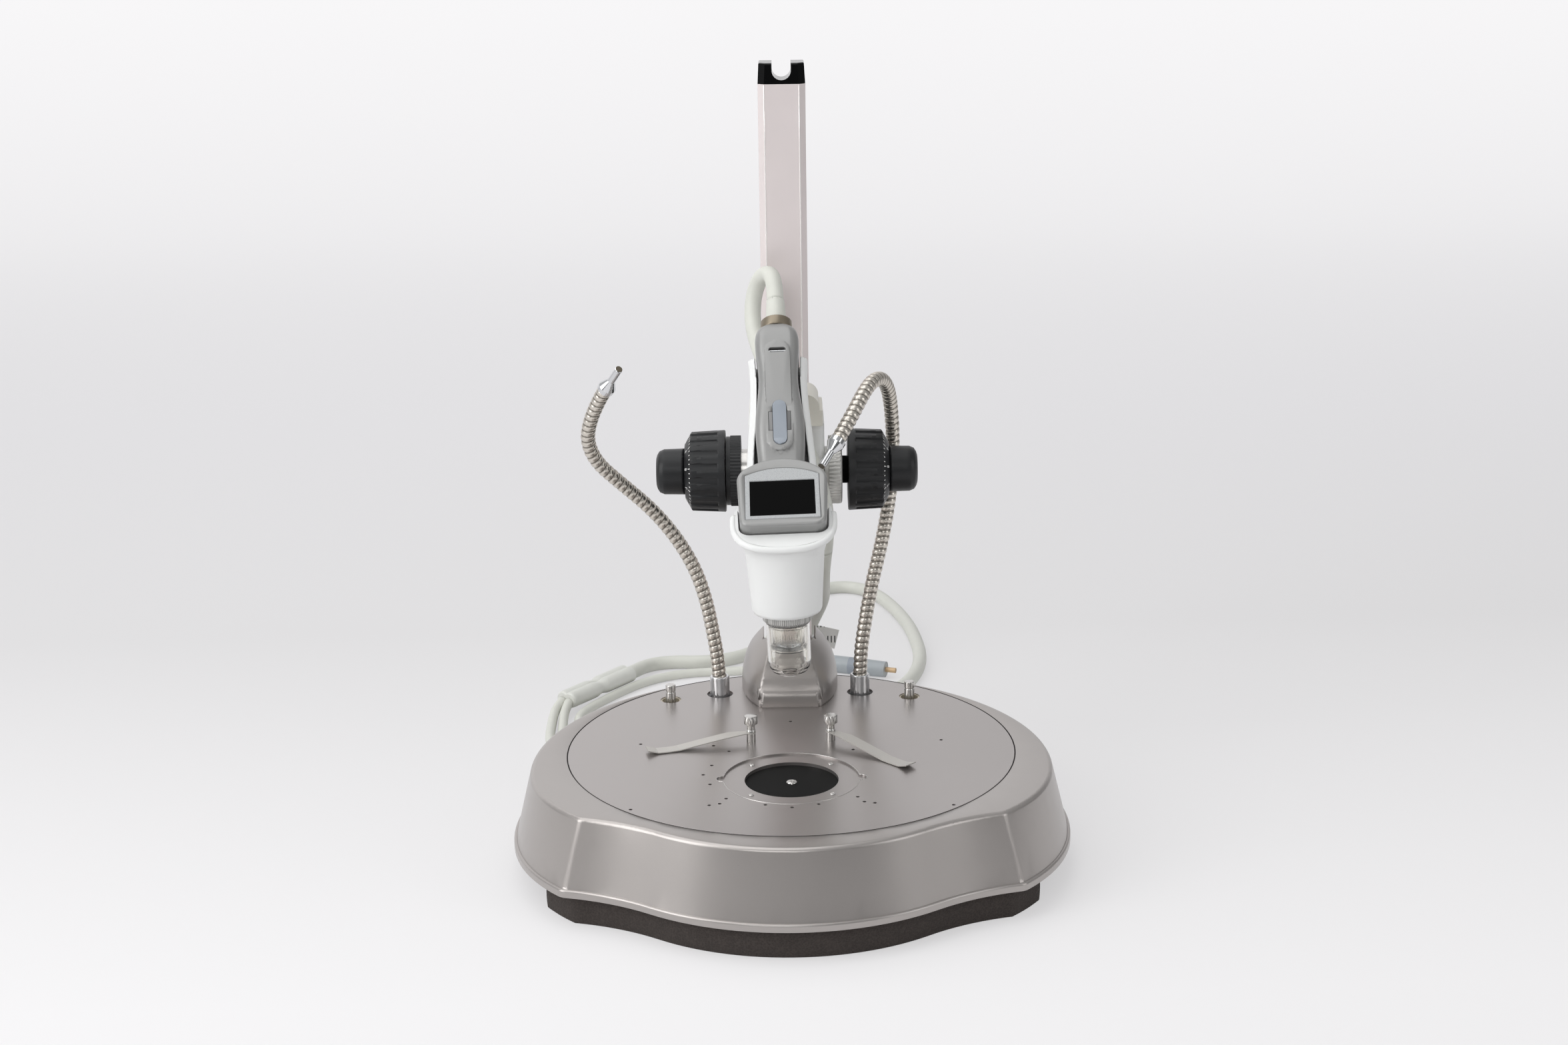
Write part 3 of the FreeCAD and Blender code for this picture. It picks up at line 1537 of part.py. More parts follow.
def rim_section(grow, rise):
    """The holder's rim as an outline in its sloping plane, in eight arcs; rise lifts the plane."""
    slope = math.radians(rim_slope)
    half = rim_half_width + grow
    depth = -lens_y + rim_front_y - grow
    arcs = []
    for start, end in zip(outline_marks, outline_marks[1:]):
        spots = []
        for share in (0.0, 0.5, 1.0):
            angle = math.radians(start + (end - start) * share)
            # A squared circle: fuller at its corners than an ellipse.
            c = math.cos(angle)
            s = math.sin(angle)
            fullness = (abs(c) ** 2.6 + abs(s) ** 2.6) ** (-1 / 2.6)
            y = lens_y - depth * s * fullness
            z = rim_front_z + rise + (y - rim_front_y) * math.tan(slope)
            spots.append(Vector(half * c * fullness, y, z))
        arcs.append(Part.Arc(*spots).toShape())
    return Part.Wire(arcs)


def make_holder():
    """The moulded holder: tapered cup, flared scoop round the head, two wings and an arm to the slide."""
    cup = turned_z(
        [
            (0, cup_bottom_z),
            (cup_bottom_radius - cup_bottom_round, cup_bottom_z),
            (cup_bottom_radius - cup_bottom_round * 0.3, cup_bottom_z + cup_bottom_round * 0.3),
            (cup_bottom_radius, cup_bottom_z + cup_bottom_round),
            (cup_top_radius, cup_top_z),
            (0, cup_top_z),
        ],
        0,
        lens_y,
    )
    scoop = Part.makeLoft([round_section_z(cup_top_radius, cup_top_z), rim_section(0, 0)], True, True)
    outer = cup.fuse(scoop)
    wing_half = handle_waist_half_width + wing_gap + wing_wall
    foot_half = handle_foot_half_width + wing_gap + wing_wall
    low = -handle_half_thickness - wing_gap - spine_wall
    channel = Part.makeLoft(
        [
            rounded_section(foot_half + 1.2, low, wing_front, -14, 5),
            rounded_section(foot_half, low, wing_front, 16, 5),
            rounded_section(wing_half, low, wing_front, 40, 5),
            rounded_section(wing_half + 0.2, low, wing_front - 1.5, wing_end, 5),
        ],
        True,
        False,
    )
    handle_room = Part.makeLoft(
        [
            rounded_section(
                handle_foot_half_width + 0.6 + wing_gap, -handle_half_thickness - wing_gap, 40, -30, 6
            ),
            rounded_section(
                handle_foot_half_width + wing_gap, -handle_half_thickness - wing_gap, 40, 16, 6
            ),
            rounded_section(
                handle_waist_half_width + wing_gap, -handle_half_thickness - wing_gap, 40, 46, 6
            ),
            rounded_section(
                handle_half_width + wing_gap, -handle_half_thickness - wing_gap, 40, wing_end + 5, 6
            ),
        ],
        True,
        False,
    )
    arm = box(-arm_half_width, arm_half_width, lens_y + 12, slide_front_y, arm_low_z, arm_high_z)
    outer = outer.fuse([channel, arm])
    radius = barrel_radius + wing_gap
    sections = [
        plate_outline(-wing_gap, 6),
        plate_outline(-wing_gap, -head_wall),
        round_section_z(radius, throat_end_z - 1.0),
        round_section_z(radius, barrel_bottom_z),
    ]
    unit_room = Part.makeLoft(sections, True, True)
    mouth = disc(lens_ring_radius + 0.6, cup_bottom_z - 1, barrel_bottom_z + 1, 0, lens_y)
    return outer.cut(handle_room).cut(unit_room).cut(mouth)


# Cables. The routes are chosen by hand.
cable_exit = leaned_point(on_handle(0, gland_end + relief_length, 0))
upper_cable_route = [
    (cable_exit.x, cable_exit.y, cable_exit.z),
    (-6.0, 86.2, 344.4),
    (-8.6, 96.5, 350.2),
    (-14.6, 105.4, 346.8),
    (-19.0, 108.6, 336.2),
    (-20.6, 105.5, 323.6),
    (-19.4, 97.0, 311.6),
    (-15.2, 85.0, 300.6),
    (-8.6, 72.0, 289.6),
    (-0.8, 57.6, 276.0),
    (7.0, 54.6, 260.0),
    (14.0, 51.4, 243.0),
    (20.0, 49.8, 226.0),
    (23.6, 50.2, 209.0),
    (24.2, 53.0, 193.0),
    (23.0, 59.0, 179.0),
]
drop_cable_route = [
    (23.0, 59.0, 179.0),
    (21.8, 68.0, 166.0),
    (21.6, 84.0, 152.5),
    (22.0, 104.0, 140.0),
    (22.4, 126.0, 128.0),
    (21.0, 148.0, 114.6),
    (15.6, 168.0, 97.0),
    (8.6, 184.0, 74.0),
    (5.0, 197.0, 49.0),
    (7.4, 210.0, 25.0),
    (18.0, 225.0, 9.6),
    (35.0, 240.0, 5.5),
]
floor_cable_route = [
    (35.0, 240.0, 5.5),
    (56.0, 254.0, 5.3),
    (76.0, 273.0, 5.3),
    (90.4, 299.0, 5.3),
    (99.0, 331.0, 5.3),
    (101.6, 362.0, 5.3),
    (100.4, 394.0, 5.3),
    (97.4, 427.0, 5.3),
    (92.0, 458.0, 5.3),
    (85.0, 486.0, 5.3),
    (77.4, 509.0, 5.3),
    (67.4, 529.0, 5.3),
    (50.6, 541.0, 5.3),
    (30.6, 536.6, 5.3),
    (16.6, 519.0, 5.3),
    (6.6, 494.0, 5.3),
    (-1.0, 461.0, 5.3),
    (-7.4, 427.0, 5.3),
    (-16.0, 392.0, 5.3),
    (-30.0, 368.0, 5.3),
    (-48.0, 354.0, 5.3),
    (-68.0, 349.5, 5.3),
    (-87.0, 351.5, 5.3),
    (-103.0, 347.5, 5.4),
    (-112.0, 336.0, 6.6),
    (-117.0, 323.5, 8.1),
    (-121.6, 312.6, 9.5),
]
junction_start = Vector(-121.6, 312.6, 9.5)
junction_run = Vector(-42.0, -58.5, 0).normalize()
junction_side = Vector(junction_run.y, -junction_run.x, 0)
junction_end = junction_start + junction_run * junction_length
video_tail_start = junction_end + junction_side * junction_offset
light_tail_start = junction_end - junction_side * junction_offset
video_tail_route = [
    (video_tail_start.x, video_tail_start.y, video_tail_start.z),
    (-169.8, 246.0, 7.6),
    (-171.2, 234.0, 5.0),
    (-171.2, 219.0, 3.5),
    (-170.8, 202.0, 3.5),
    (-169.0, 184.0, 3.5),
    (-163.0, 166.0, 3.5),
    (-151.0, 151.0, 3.5),
    (-134.0, 143.0, 3.5),
    (-114.0, 143.0, 3.5),
    (-94.0, 149.5, 3.5),
    (-72.0, 159.0, 3.5),
    (-48.0, 168.0, 3.5),
    (-24.0, 173.5, 3.5),
    (2.0, 175.0, 3.5),
    (28.0, 172.5, 3.5),
    (52.0, 168.0, 3.5),
]
light_tail_route = [
    (light_tail_start.x, light_tail_start.y, light_tail_start.z),
    (-163.2, 242.0, 7.2),
    (-163.6, 230.0, 4.6),
    (-162.8, 216.0, 3.5),
    (-162.0, 198.0, 3.5),
    (-160.0, 180.0, 3.5),
    (-149.6, 165.6, 3.5),
    (-133.0, 160.8, 3.5),
    (-117.4, 168.2, 3.5),
    (-111.0, 184.4, 3.5),
    (-117.0, 200.6, 3.5),
    (-133.0, 207.6, 3.5),
    (-149.4, 217.6, 3.5),
    (-153.6, 233.0, 3.5),
    (-148.8, 251.0, 3.5),
    (-137.6, 271.0, 3.5),
    (-125.0, 290.6, 3.5),
    (-111.6, 308.4, 3.5),
    (-96.0, 321.4, 3.5),
    (-77.6, 329.6, 3.5),
    (-56.0, 332.4, 3.5),
    (-34.0, 333.2, 3.5),
    (-14.0, 338.6, 3.6),
    (4.0, 343.6, 4.8),
    (19.0, 343.0, 6.8),
]


def make_junction():
    """The moulded junction: two soft-edged barrels side by side, waisted in the middle."""
    barrels = []
    for side in (-1, 1):
        stations = [
            (0.0, junction_waist),
            (0.06, junction_radius),
            (0.42, junction_radius),
            (0.52, junction_waist),
            (0.62, junction_radius),
            (0.94, junction_radius),
            (1.0, junction_waist),
        ]
        profile = [Vector(0, 0, 0)]
        profile += [Vector(r, 0, junction_length * s) for s, r in stations]
        profile += [Vector(0, 0, junction_length)]
        face = Part.Face(Part.makePolygon(profile + profile[:1]))
        barrel = face.revolve(Vector(0, 0, 0), Vector(0, 0, 1), 360)
        barrel.Placement = Placement(
            junction_start + junction_side * junction_offset * side,
            Rotation(Vector(0, 0, 1), junction_run),
        )
        barrels.append(barrel)
    return barrels[0].fuse(barrels[1])


plug_start = Vector(19.0, 343.0, 6.8)
plug_run = Vector(56.6, -21.6, 0).normalize()


def plug_section(s0, s1, r0, r1):
    """A tapered length of the light guide's plug, between two shares of its length."""
    start = plug_start + plug_run * (plug_length * s0)
    return Part.makeCone(plug_radius * r0, plug_radius * r1, plug_length * (s1 - s0), start, plug_run)


def make_plug_core(grow):
    """The part of the plug that the coloured band sits on."""
    start = plug_start + plug_run * (plug_length * band_start)
    return Part.makeCylinder(
        plug_radius * 0.8 + grow, plug_length * (band_end - band_start), start, plug_run
    )


def make_light_plug():
    """The tapered plug of the light guide's tail, in one piece under its band."""
    grip = plug_section(0, band_start, 1.0, 0.985)
    nose = plug_section(band_end, 1, 0.97, 0.9)
    return grip.fuse(nose).fuse(make_plug_core(0))


def make_plug_band():
    """The coloured band round the plug."""
    return plug_section(band_start, band_end, 0.985, 0.97).cut(make_plug_core(0))


def make_ferrule():
    """The thin brass tube at the end of the light guide's plug."""
    start = plug_start + plug_run * plug_length
    return Part.makeCylinder(ferrule_radius, ferrule_length, start, plug_run)


def make_video_plug():
    """The round plug on the signal tail: grip, collar and shell."""
    start = Vector(*video_tail_route[-1])
    run = (start - Vector(*video_tail_route[-2])).normalize()
    rise = 6.2 - start.z
    grip = Part.makeCone(5.2, 6.2, 20, start + Vector(0, 0, 0), run)
    shell = Part.makeCylinder(6.2, 22, start + run * 20, run)
    plug = grip.fuse(shell)
    plug.translate(Vector(0, 0, rise))
    return plug.cut(Part.makeCylinder(5.2, 8, start + run * 34.5 + Vector(0, 0, rise), run))


def make_cable_tag():
    """A blank paper flag folded round the cable behind the column."""
    a = Vector(*drop_cable_route[6])
    b = Vector(*drop_cable_route[7])
    run = (b - a).normalize()
    middle = (a + b) * 0.5
    outer = Part.makeCylinder(cable_radius + 0.45, 9.0, middle - run * 4.5, run)
    inner = Part.makeCylinder(cable_radius + 0.12, 11.0, middle - run * 5.5, run)
    band = outer.cut(inner)
    near = cable_radius + 0.3
    half = tag_thickness / 2
    flag = box(near, near + tag_width, -half, half, -tag_height / 2, tag_height / 2)
    flag.rotate(Vector(0, 0, 0), Vector(0, 1, 0), 14)
    flag.translate(middle)
    return band.fuse(flag)


save("foam_pad", make_foam_pad())
save("base_housing", make_base_housing())
save("stage_plate", make_stage_plate())
save("stage_insert", make_stage_insert())
save("stage_screws", make_stage_screws())
save("locating_pins", make_locating_pins())
save("pin_liners", make_pin_liners())
sockets = []
for word, side, route in (("left", -1, left_guide_route), ("right", 1, right_guide_route)):
    guide = cord_tube(route, guide_radius, "light_guide_" + word)
    save("light_guide_" + word, guide)
    sockets.append(make_socket(side).cut(guide))
save("light_sockets", Part.makeCompound(sockets))
save("clip_posts", Part.makeCompound([make_clip_post(-1), make_clip_post(1)]))
lenses = [make_light_lens(left_guide_route), make_light_lens(right_guide_route)]
save("light_lenses", Part.makeCompound(lenses))
for word, side, route in (("left", -1, left_guide_route), ("right", 1, right_guide_route)):
    save("light_tip_" + word, make_light_tip(route))
    save("clip_leaf_" + word, make_clip_leaf(side))
    save("clip_screw_" + word, make_clip_screw(side))
    save("coarse_knob_" + word, make_coarse_knob(side))
    save("fine_knob_" + word, make_fine_knob(side))
save("column", make_column())
save("column_cap", make_column_cap())
save("foot_cover", make_foot_cover())
save("focus_housing", make_focus_housing())
save("focus_slide", make_focus_slide())
save("rack", make_rack())
save("drive_sleeve", make_drive_sleeve())
save("fine_shaft", make_fine_shaft())
save("left_bush", make_left_bush())
save("right_bush", make_right_bush())
save("tension_ring", make_tension_ring())
save("lock_ring", make_lock_ring())
front_shell, rear_shell = make_unit_shells()
save("unit_front_shell", leaned(front_shell))
save("unit_rear_shell", leaned(rear_shell))
save("circuit_board", leaned(make_circuit_board().cut(rear_shell)))
save("camera_module", leaned(make_camera_module()))
save("screen_bezel", leaned(make_screen_bezel()))
save("screen_window", leaned(make_screen_window()))
save("shutter_button", leaned(make_button()))
save("strap_bar", leaned(make_strap_bar()))
save("cable_gland", leaned(make_gland()))
save("cable_relief", leaned(make_cable_relief()))
save("lens_ring", leaned(make_lens_ring()))
save("clear_tip", leaned(make_clear_tip()))
save("lens_tube", leaned(make_lens_tube()))
save("front_lens", leaned(make_front_lens()))
save("holder", leaned(make_holder()))
# Each length of cable ends flat on the next, and what sits on a cord is seated round it.
upper_cable = cord_tube(upper_cable_route, cable_radius, "cable_upper")
drop_cable = cord_tube(drop_cable_route, cable_radius, "cable_drop")
floor_cable = cord_tube(floor_cable_route, cable_radius, "cable_floor")
video_tail = cord_tube(video_tail_route, tail_radius, "video_tail")
light_tail = cord_tube(light_tail_route, tail_radius, "light_tail")
save("cable_upper", upper_cable.cut(leaned(make_cable_relief())).cut(drop_cable))
save("cable_drop", drop_cable)
save("cable_floor", floor_cable.cut(drop_cable))
save("cable_junction", make_junction().cut(floor_cable).cut(video_tail).cut(light_tail))
save("video_tail", video_tail)
save("light_tail", light_tail)
save("light_plug", make_light_plug().cut(light_tail))
save("light_plug_band", make_plug_band())
save("light_plug_ferrule", make_ferrule())
save("video_plug", make_video_plug())
save("cable_tag", make_cable_tag())
print(len(written), "pieces")
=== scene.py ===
"""Video microscope on a focusing stand: the looks, cords and small pieces built round the CAD frame."""

import json
import logging
import math
from dataclasses import dataclass
from enum import Enum
from typing import Any

import bmesh
import bpy
import numpy as np
from mathutils import Matrix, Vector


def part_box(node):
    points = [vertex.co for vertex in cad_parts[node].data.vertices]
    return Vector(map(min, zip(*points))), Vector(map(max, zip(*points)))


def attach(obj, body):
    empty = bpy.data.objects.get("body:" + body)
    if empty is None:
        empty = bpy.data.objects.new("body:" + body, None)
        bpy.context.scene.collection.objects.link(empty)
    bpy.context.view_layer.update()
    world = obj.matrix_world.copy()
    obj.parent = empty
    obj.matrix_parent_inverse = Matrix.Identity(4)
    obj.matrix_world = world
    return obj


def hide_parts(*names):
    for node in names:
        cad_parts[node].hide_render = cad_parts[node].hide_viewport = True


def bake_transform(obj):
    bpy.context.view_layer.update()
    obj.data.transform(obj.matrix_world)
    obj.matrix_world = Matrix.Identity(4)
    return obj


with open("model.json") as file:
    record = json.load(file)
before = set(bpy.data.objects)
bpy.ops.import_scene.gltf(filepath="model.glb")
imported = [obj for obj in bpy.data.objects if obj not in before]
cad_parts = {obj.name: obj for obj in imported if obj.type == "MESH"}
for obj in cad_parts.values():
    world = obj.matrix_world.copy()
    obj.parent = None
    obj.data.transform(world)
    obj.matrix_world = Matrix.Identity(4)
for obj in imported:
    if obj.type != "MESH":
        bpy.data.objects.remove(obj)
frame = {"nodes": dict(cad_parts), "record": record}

logging.basicConfig(level=logging.INFO, format="%(message)s")
log = logging.getLogger("microscope")

MM = 0.001
Colour = tuple[float, float, float]
Point = tuple[float, float, float]

# Where the lens axis leans from upright, as in the CAD.
LEAN = math.radians(1.6)
LEAN_PIVOT = np.array([0.0, 0.0, 132.0])
KNOB_AXIS = np.array([89.0, 224.0])


def srgb(red: int, green: int, blue: int) -> Colour:
    """Turns an 8-bit screen colour into the linear colour that shaders use.

    Args:
        red: Red, 0 to 255.
        green: Green, 0 to 255.
        blue: Blue, 0 to 255.

    Returns:
        The linear colour: each share to the power 2.4 above the toe, a straight line below it.
    """
    shares = np.array([red, green, blue]) / 255
    linear = np.where(shares <= 0.04045, shares / 12.92, ((shares + 0.055) / 1.055) ** 2.4)
    return tuple(float(v) for v in linear)


def leaned(points: np.ndarray) -> np.ndarray:
    """Leans points of the hand-held unit sideways about its pivot, in millimetres."""
    x, y, z = np.moveaxis(points - LEAN_PIVOT, -1, 0)
    cos, sin = math.cos(-LEAN), math.sin(-LEAN)
    return np.stack([cos * x + sin * z, y, cos * z - sin * x], -1) + LEAN_PIVOT


# Shader maths


class Socket:
    """A socket of a material that takes part in Python maths: each operator adds one Math node."""

    def __init__(self, shader: "Shader", socket: bpy.types.NodeSocket) -> None:
        """Wraps a node's output socket."""
        self.shader = shader
        self.socket = socket

    def math(self, operation: str, *others: Any) -> "Socket":
        """Adds a Math node whose first input is this socket.

        Args:
            operation: The Math node's operation.
            others: Its further inputs in order, numbers or sockets.

        Returns:
            The node's result.
        """
        inputs = dict(enumerate((self, *others)))
        node = self.shader.node("ShaderNodeMath", {"operation": operation}, inputs)
        return Socket(self.shader, node.outputs[0])

    def __add__(self, other: Any) -> "Socket":
        """Sum."""
        return self.math("ADD", other)

    def __sub__(self, other: Any) -> "Socket":
        """Difference."""
        return self.math("SUBTRACT", other)

    def __rsub__(self, other: Any) -> "Socket":
        """Difference from a number."""
        return self.math("MULTIPLY_ADD", -1.0, other)

    def __gt__(self, other: Any) -> "Socket":
        """1 where this is the greater, else 0."""
        return self.math("GREATER_THAN", other)

    def __mul__(self, other: Any) -> "Socket":
        """Product."""
        return self.math("MULTIPLY", other)

    __radd__ = __add__
    __rmul__ = __mul__


class Shader:
    """One material, and the few ways in which its nodes are added."""

    def __init__(self, name: str, tree: Any = None) -> None:
        """Starts a material with its Principled shader, or works on the tree that it is given."""
        self.tree = tree
        if tree is None:
            self.material = bpy.data.materials.new(name)
            self.material.use_nodes = True
            self.tree = self.material.node_tree
            self.surface = self.tree.nodes["Principled BSDF"]

    def node(
        self, kind: str, settings: dict[str, Any] | None = None, inputs: dict[Any, Any] | None = None
    ) -> Any:
        """Adds any node, its settings first and then its sockets.

        Args:
            kind: The node's type.
            settings: Its properties; "stops" gives a ramp's (place, colour) pairs.
            inputs: Values or links by socket name or number.

        Returns:
            The new node.
        """
        node = self.tree.nodes.new(kind)
        for key, value in (settings or {}).items():
            if key == "stops":
                ramp = node.color_ramp.elements
                while len(ramp) < len(value):
                    ramp.new(0.5)
                for element, (place, shade) in zip(ramp, value):
                    element.position = place
                    element.color = (*shade, 1.0)
            else:
                setattr(node, key, value)
        for key, value in (inputs or {}).items():
            self.feed(node, key, value)
        return node

    def feed(self, node: Any, key: Any, value: Any) -> None:
        """Gives one socket its value, or links it."""
        if isinstance(value, Socket):
            self.tree.links.new(value.socket, node.inputs[key])
        elif isinstance(value, tuple) and len(value) == 3 and node.inputs[key].type == "RGBA":
            node.inputs[key].default_value = (*value, 1.0)
        else:
            node.inputs[key].default_value = value

    def place(self, stretch: Point = (1.0, 1.0, 1.0)) -> Socket:
        """Object coordinates, scaled along each axis."""
        coordinates = self.node("ShaderNodeTexCoord")
        spot = Socket(self, coordinates.outputs["Object"])
        mapping = self.node("ShaderNodeMapping", None, {"Vector": spot, "Scale": stretch})
        return Socket(self, mapping.outputs[0])

    def axis(self, number: int, output: str = "Object") -> Socket:
        """One axis of a coordinate: 0, 1 or 2 for X, Y or Z."""
        spot = Socket(self, self.node("ShaderNodeTexCoord").outputs[output])
        return Socket(self, self.node("ShaderNodeSeparateXYZ", None, {0: spot}).outputs[number])

    def attribute(self, name: str) -> Socket:
        """A number that the mesh carries at each point."""
        return Socket(self, self.node("ShaderNodeAttribute", {"attribute_name": name}).outputs["Fac"])

    def noise(self, scale: float, detail: float = 2.0, stretch: Point = (1.0, 1.0, 1.0)) -> Socket:
        """Smooth noise from 0 to 1; scale is in cells a metre."""
        inputs = {"Vector": self.place(stretch), "Scale": scale, "Detail": detail}
        return Socket(self, self.node("ShaderNodeTexNoise", None, inputs).outputs[0])

    def cells(self, scale: float) -> Socket:
        """Distance to the nearest cell's centre; scale is in cells a metre."""
        inputs = {"Vector": self.place(), "Scale": scale}
        return Socket(self, self.node("ShaderNodeTexVoronoi", None, inputs).outputs["Distance"])

    def shades(self, share: Socket, low: Colour, high: Colour) -> Socket:
        """Mixes two colours by a share."""
        node = self.node("ShaderNodeMix", {"data_type": "RGBA"}, {0: share})
        self.feed(node, 6, low)
        self.feed(node, 7, high)
        return Socket(self, node.outputs[2])

    def bump(self, height: Socket, depth: float, strength: float = 1.0) -> None:
        """Raises the surface by a height of 0 to 1 times a depth in metres."""
        inputs = {"Height": height, "Distance": depth, "Strength": strength}
        raised = self.node("ShaderNodeBump", None, inputs)
        self.feed(self.surface, "Normal", Socket(self, raised.outputs[0]))

    def set(self, **values: Any) -> None:
        """Sets sockets of the Principled shader, with underscores for the spaces in their names."""
        for key, value in values.items():
            self.feed(self.surface, key.replace("_", " "), value)


# Finishes


def toned(colour: Colour, share: float) -> Colour:
    """A colour made lighter or darker by a share."""
    return tuple(min(1.0, c * share) for c in colour)


@dataclass(frozen=True)
class Finish:
    """A finish: its colour, how metallic and how rough it is, and what varies over it."""

    name: str
    colour: Colour
    metallic: float = 0.0
    roughness: float = 0.4
    variation: float = 0.04
    shine: float = 0.5

    def make(self) -> bpy.types.Material:
        """Builds the finish's material."""
        shader = Shader(self.name)
        shader.set(Metallic=self.metallic, Specular_IOR_Level=self.shine)
        self.dress(shader)
        return shader.material

    def dress(self, shader: Shader) -> None:
        """Adds the nodes of this finish."""
        raise NotImplementedError

    def tones(self, times: float = 1.0) -> tuple[Colour, Colour]:
        """The colour made darker and lighter by the variation, so many times."""
        change = times * self.variation
        return toned(self.colour, 1 - change), toned(self.colour, 1 + change)


@dataclass(frozen=True)
class MetallicPaint(Finish):
    """Satin metallic lacquer: fine flakes, a faint orange peel, and broad tone changes from handling."""

    coat: float = 0.15

    def dress(self, shader: Shader) -> None:
        """Flakes are fine noise in colour and roughness; the peel is a low bump."""
        flakes = shader.noise(2600.0, 1.0)
        broad = shader.noise(9.0, 3.0)
        tone = flakes * 0.55 + broad * 0.45
        colour = shader.shades(tone, *self.tones(2.0))
        shader.set(Base_Color=colour, Roughness=self.roughness - 0.04 + flakes * 0.08)
        shader.set(Coat_Weight=self.coat, Coat_Roughness=0.25)
        shader.bump(shader.noise(900.0, 1.0), 0.00003, 0.5)


@dataclass(frozen=True)
class Moulded(Finish):
    """Moulded plastic: fine grain, soft tone changes and a little dulling."""

    grain: float = 1800.0
    relief: float = 0.00003

    def dress(self, shader: Shader) -> None:
        """Grain is fine noise used as bump; tone and gloss change slowly over the piece."""
        broad = shader.noise(26.0, 3.0)
        colour = shader.shades(broad, *self.tones())
        shader.set(Base_Color=colour, Roughness=self.roughness - 0.05 + broad * 0.1)
        shader.bump(shader.noise(self.grain, 2.0), self.relief, 0.6)


@dataclass(frozen=True)
class Machined(Finish):
    """Turned or brushed metal: fine lines along one direction, and a little tarnish."""

    lines: Point = (1.0, 1.0, 1.0)
    relief: float = 0.00002

    def dress(self, shader: Shader) -> None:
        """The lines are noise stretched along the direction of the cut, in roughness and bump."""
        strokes = shader.noise(1500.0, 2.0, self.lines)
        tarnish = shader.noise(60.0, 3.0)
        shader.set(Base_Color=shader.shades(tarnish, *self.tones()))
        shader.set(Roughness=self.roughness - 0.06 + strokes * 0.12)
        shader.bump(strokes, self.relief, 0.5)


@dataclass(frozen=True)
class CellFoam(Finish):
    """Closed-cell foam: small open cells and a mottled dark tone."""

    cell: float = 900.0

    def dress(self, shader: Shader) -> None:
        """Cells are a Voronoi pattern, dark and low at their centres."""
        cells = shader.cells(self.cell)
        mottle = shader.noise(120.0, 4.0)
        low, high = toned(self.colour, 0.55), toned(self.colour, 1.5)
        colour = shader.shades(cells * 0.6 + mottle * 0.4, low, high)
        shader.set(Base_Color=colour, Roughness=self.roughness)
        shader.bump(cells + mottle * 0.4, 0.0004, 0.8)


@dataclass(frozen=True)
class Skin(Finish):
    """The soft jacket of a cable: slightly dull, with faint scuffs along it."""

    def dress(self, shader: Shader) -> None:
        """Scuffs are noise in tone and roughness."""
        scuffs = shader.noise(140.0, 4.0)
        colour = shader.shades(scuffs, *self.tones())
        shader.set(Base_Color=colour, Roughness=self.roughness - 0.06 + scuffs * 0.12)
        shader.bump(shader.noise(1400.0, 1.0), 0.00002, 0.4)


@dataclass(frozen=True)
class WoundSteel(Machined):
    """The strip of a wound guide: bright on its crowns, and dark and dull down in its grooves, where the
    dark is painted shade.
    """

    # Painted shade: the dark colour laid down in the grooves, where the wound steel is only shaded.
    groove_shade: Colour = srgb(84, 78, 70)

    def dress(self, shader: Shader) -> None:
        """The mesh's crown value, 0 down in the grooves and 1 on a crown, mixes the painted shade of the
        grooves with the steel's colour.
        """
        crown = shader.attribute("crown")
        strokes = shader.noise(900.0, 2.0)
        shader.set(Base_Color=shader.shades(crown, self.groove_shade, self.colour))
        shader.set(Roughness=self.roughness + 0.3 * (1 - crown) + strokes * 0.08)
        shader.bump(strokes, self.relief, 0.4)


@dataclass(frozen=True)
class Clear(Finish):
    """Clear plastic or glass that bends the light as the real wall does."""

    index: float = 1.45

    def dress(self, shader: Shader) -> None:
        """Wipe marks change the tone and the roughness a little."""
        marks = shader.noise(90.0, 3.0)
        low, high = toned(self.colour, 0.97), self.colour
        shader.set(Base_Color=shader.shades(marks, low, high), Roughness=self.roughness + marks * 0.04)
        shader.set(Transmission_Weight=1.0, IOR=self.index)


@dataclass(frozen=True)
class Knurled(Finish):
    """Metal cut with fine straight flutes round an upright axis, with painted shade in the flutes' troughs.
    """

    middle: tuple[float, float] = (0.0, 0.0)
    flutes: int = 60
    depth: float = 0.0003

    def dress(self, shader: Shader) -> None:
        """A sine of the turn about the axis gives the flutes their height and their tone, which is painted
        shade darkening the troughs.
        """
        x = shader.axis(0) - self.middle[0] * MM
        y = shader.axis(1) - self.middle[1] * MM
        wave = (y.math("ARCTAN2", x) * float(self.flutes)).math("SINE") * 0.5 + 0.5
        tarnish = shader.noise(60.0, 3.0)
        # Painted shade: the troughs darken to 0.35 of the colour; a little random tarnish is mixed into the
        # same share.
        colour = shader.shades(wave * 0.8 + tarnish * 0.2, toned(self.colour, 0.35), self.colour)
        shader.set(Base_Color=colour, Roughness=self.roughness + tarnish * 0.1)
        shader.bump(wave, self.depth, 0.6)


@dataclass(frozen=True)
class Gloss(Finish):
    """A polished dark surface, with faint smears."""

    coat: float = 0.0

    def dress(self, shader: Shader) -> None:
        """Smears are soft noise in the roughness."""
        smears = shader.noise(45.0, 4.0)
        low, high = toned(self.colour, 0.9), toned(self.colour, 1.15)
        shader.set(Base_Color=shader.shades(smears, low, high), Roughness=self.roughness + smears * 0.06)
        shader.set(Coat_Weight=self.coat, Coat_Roughness=0.05)


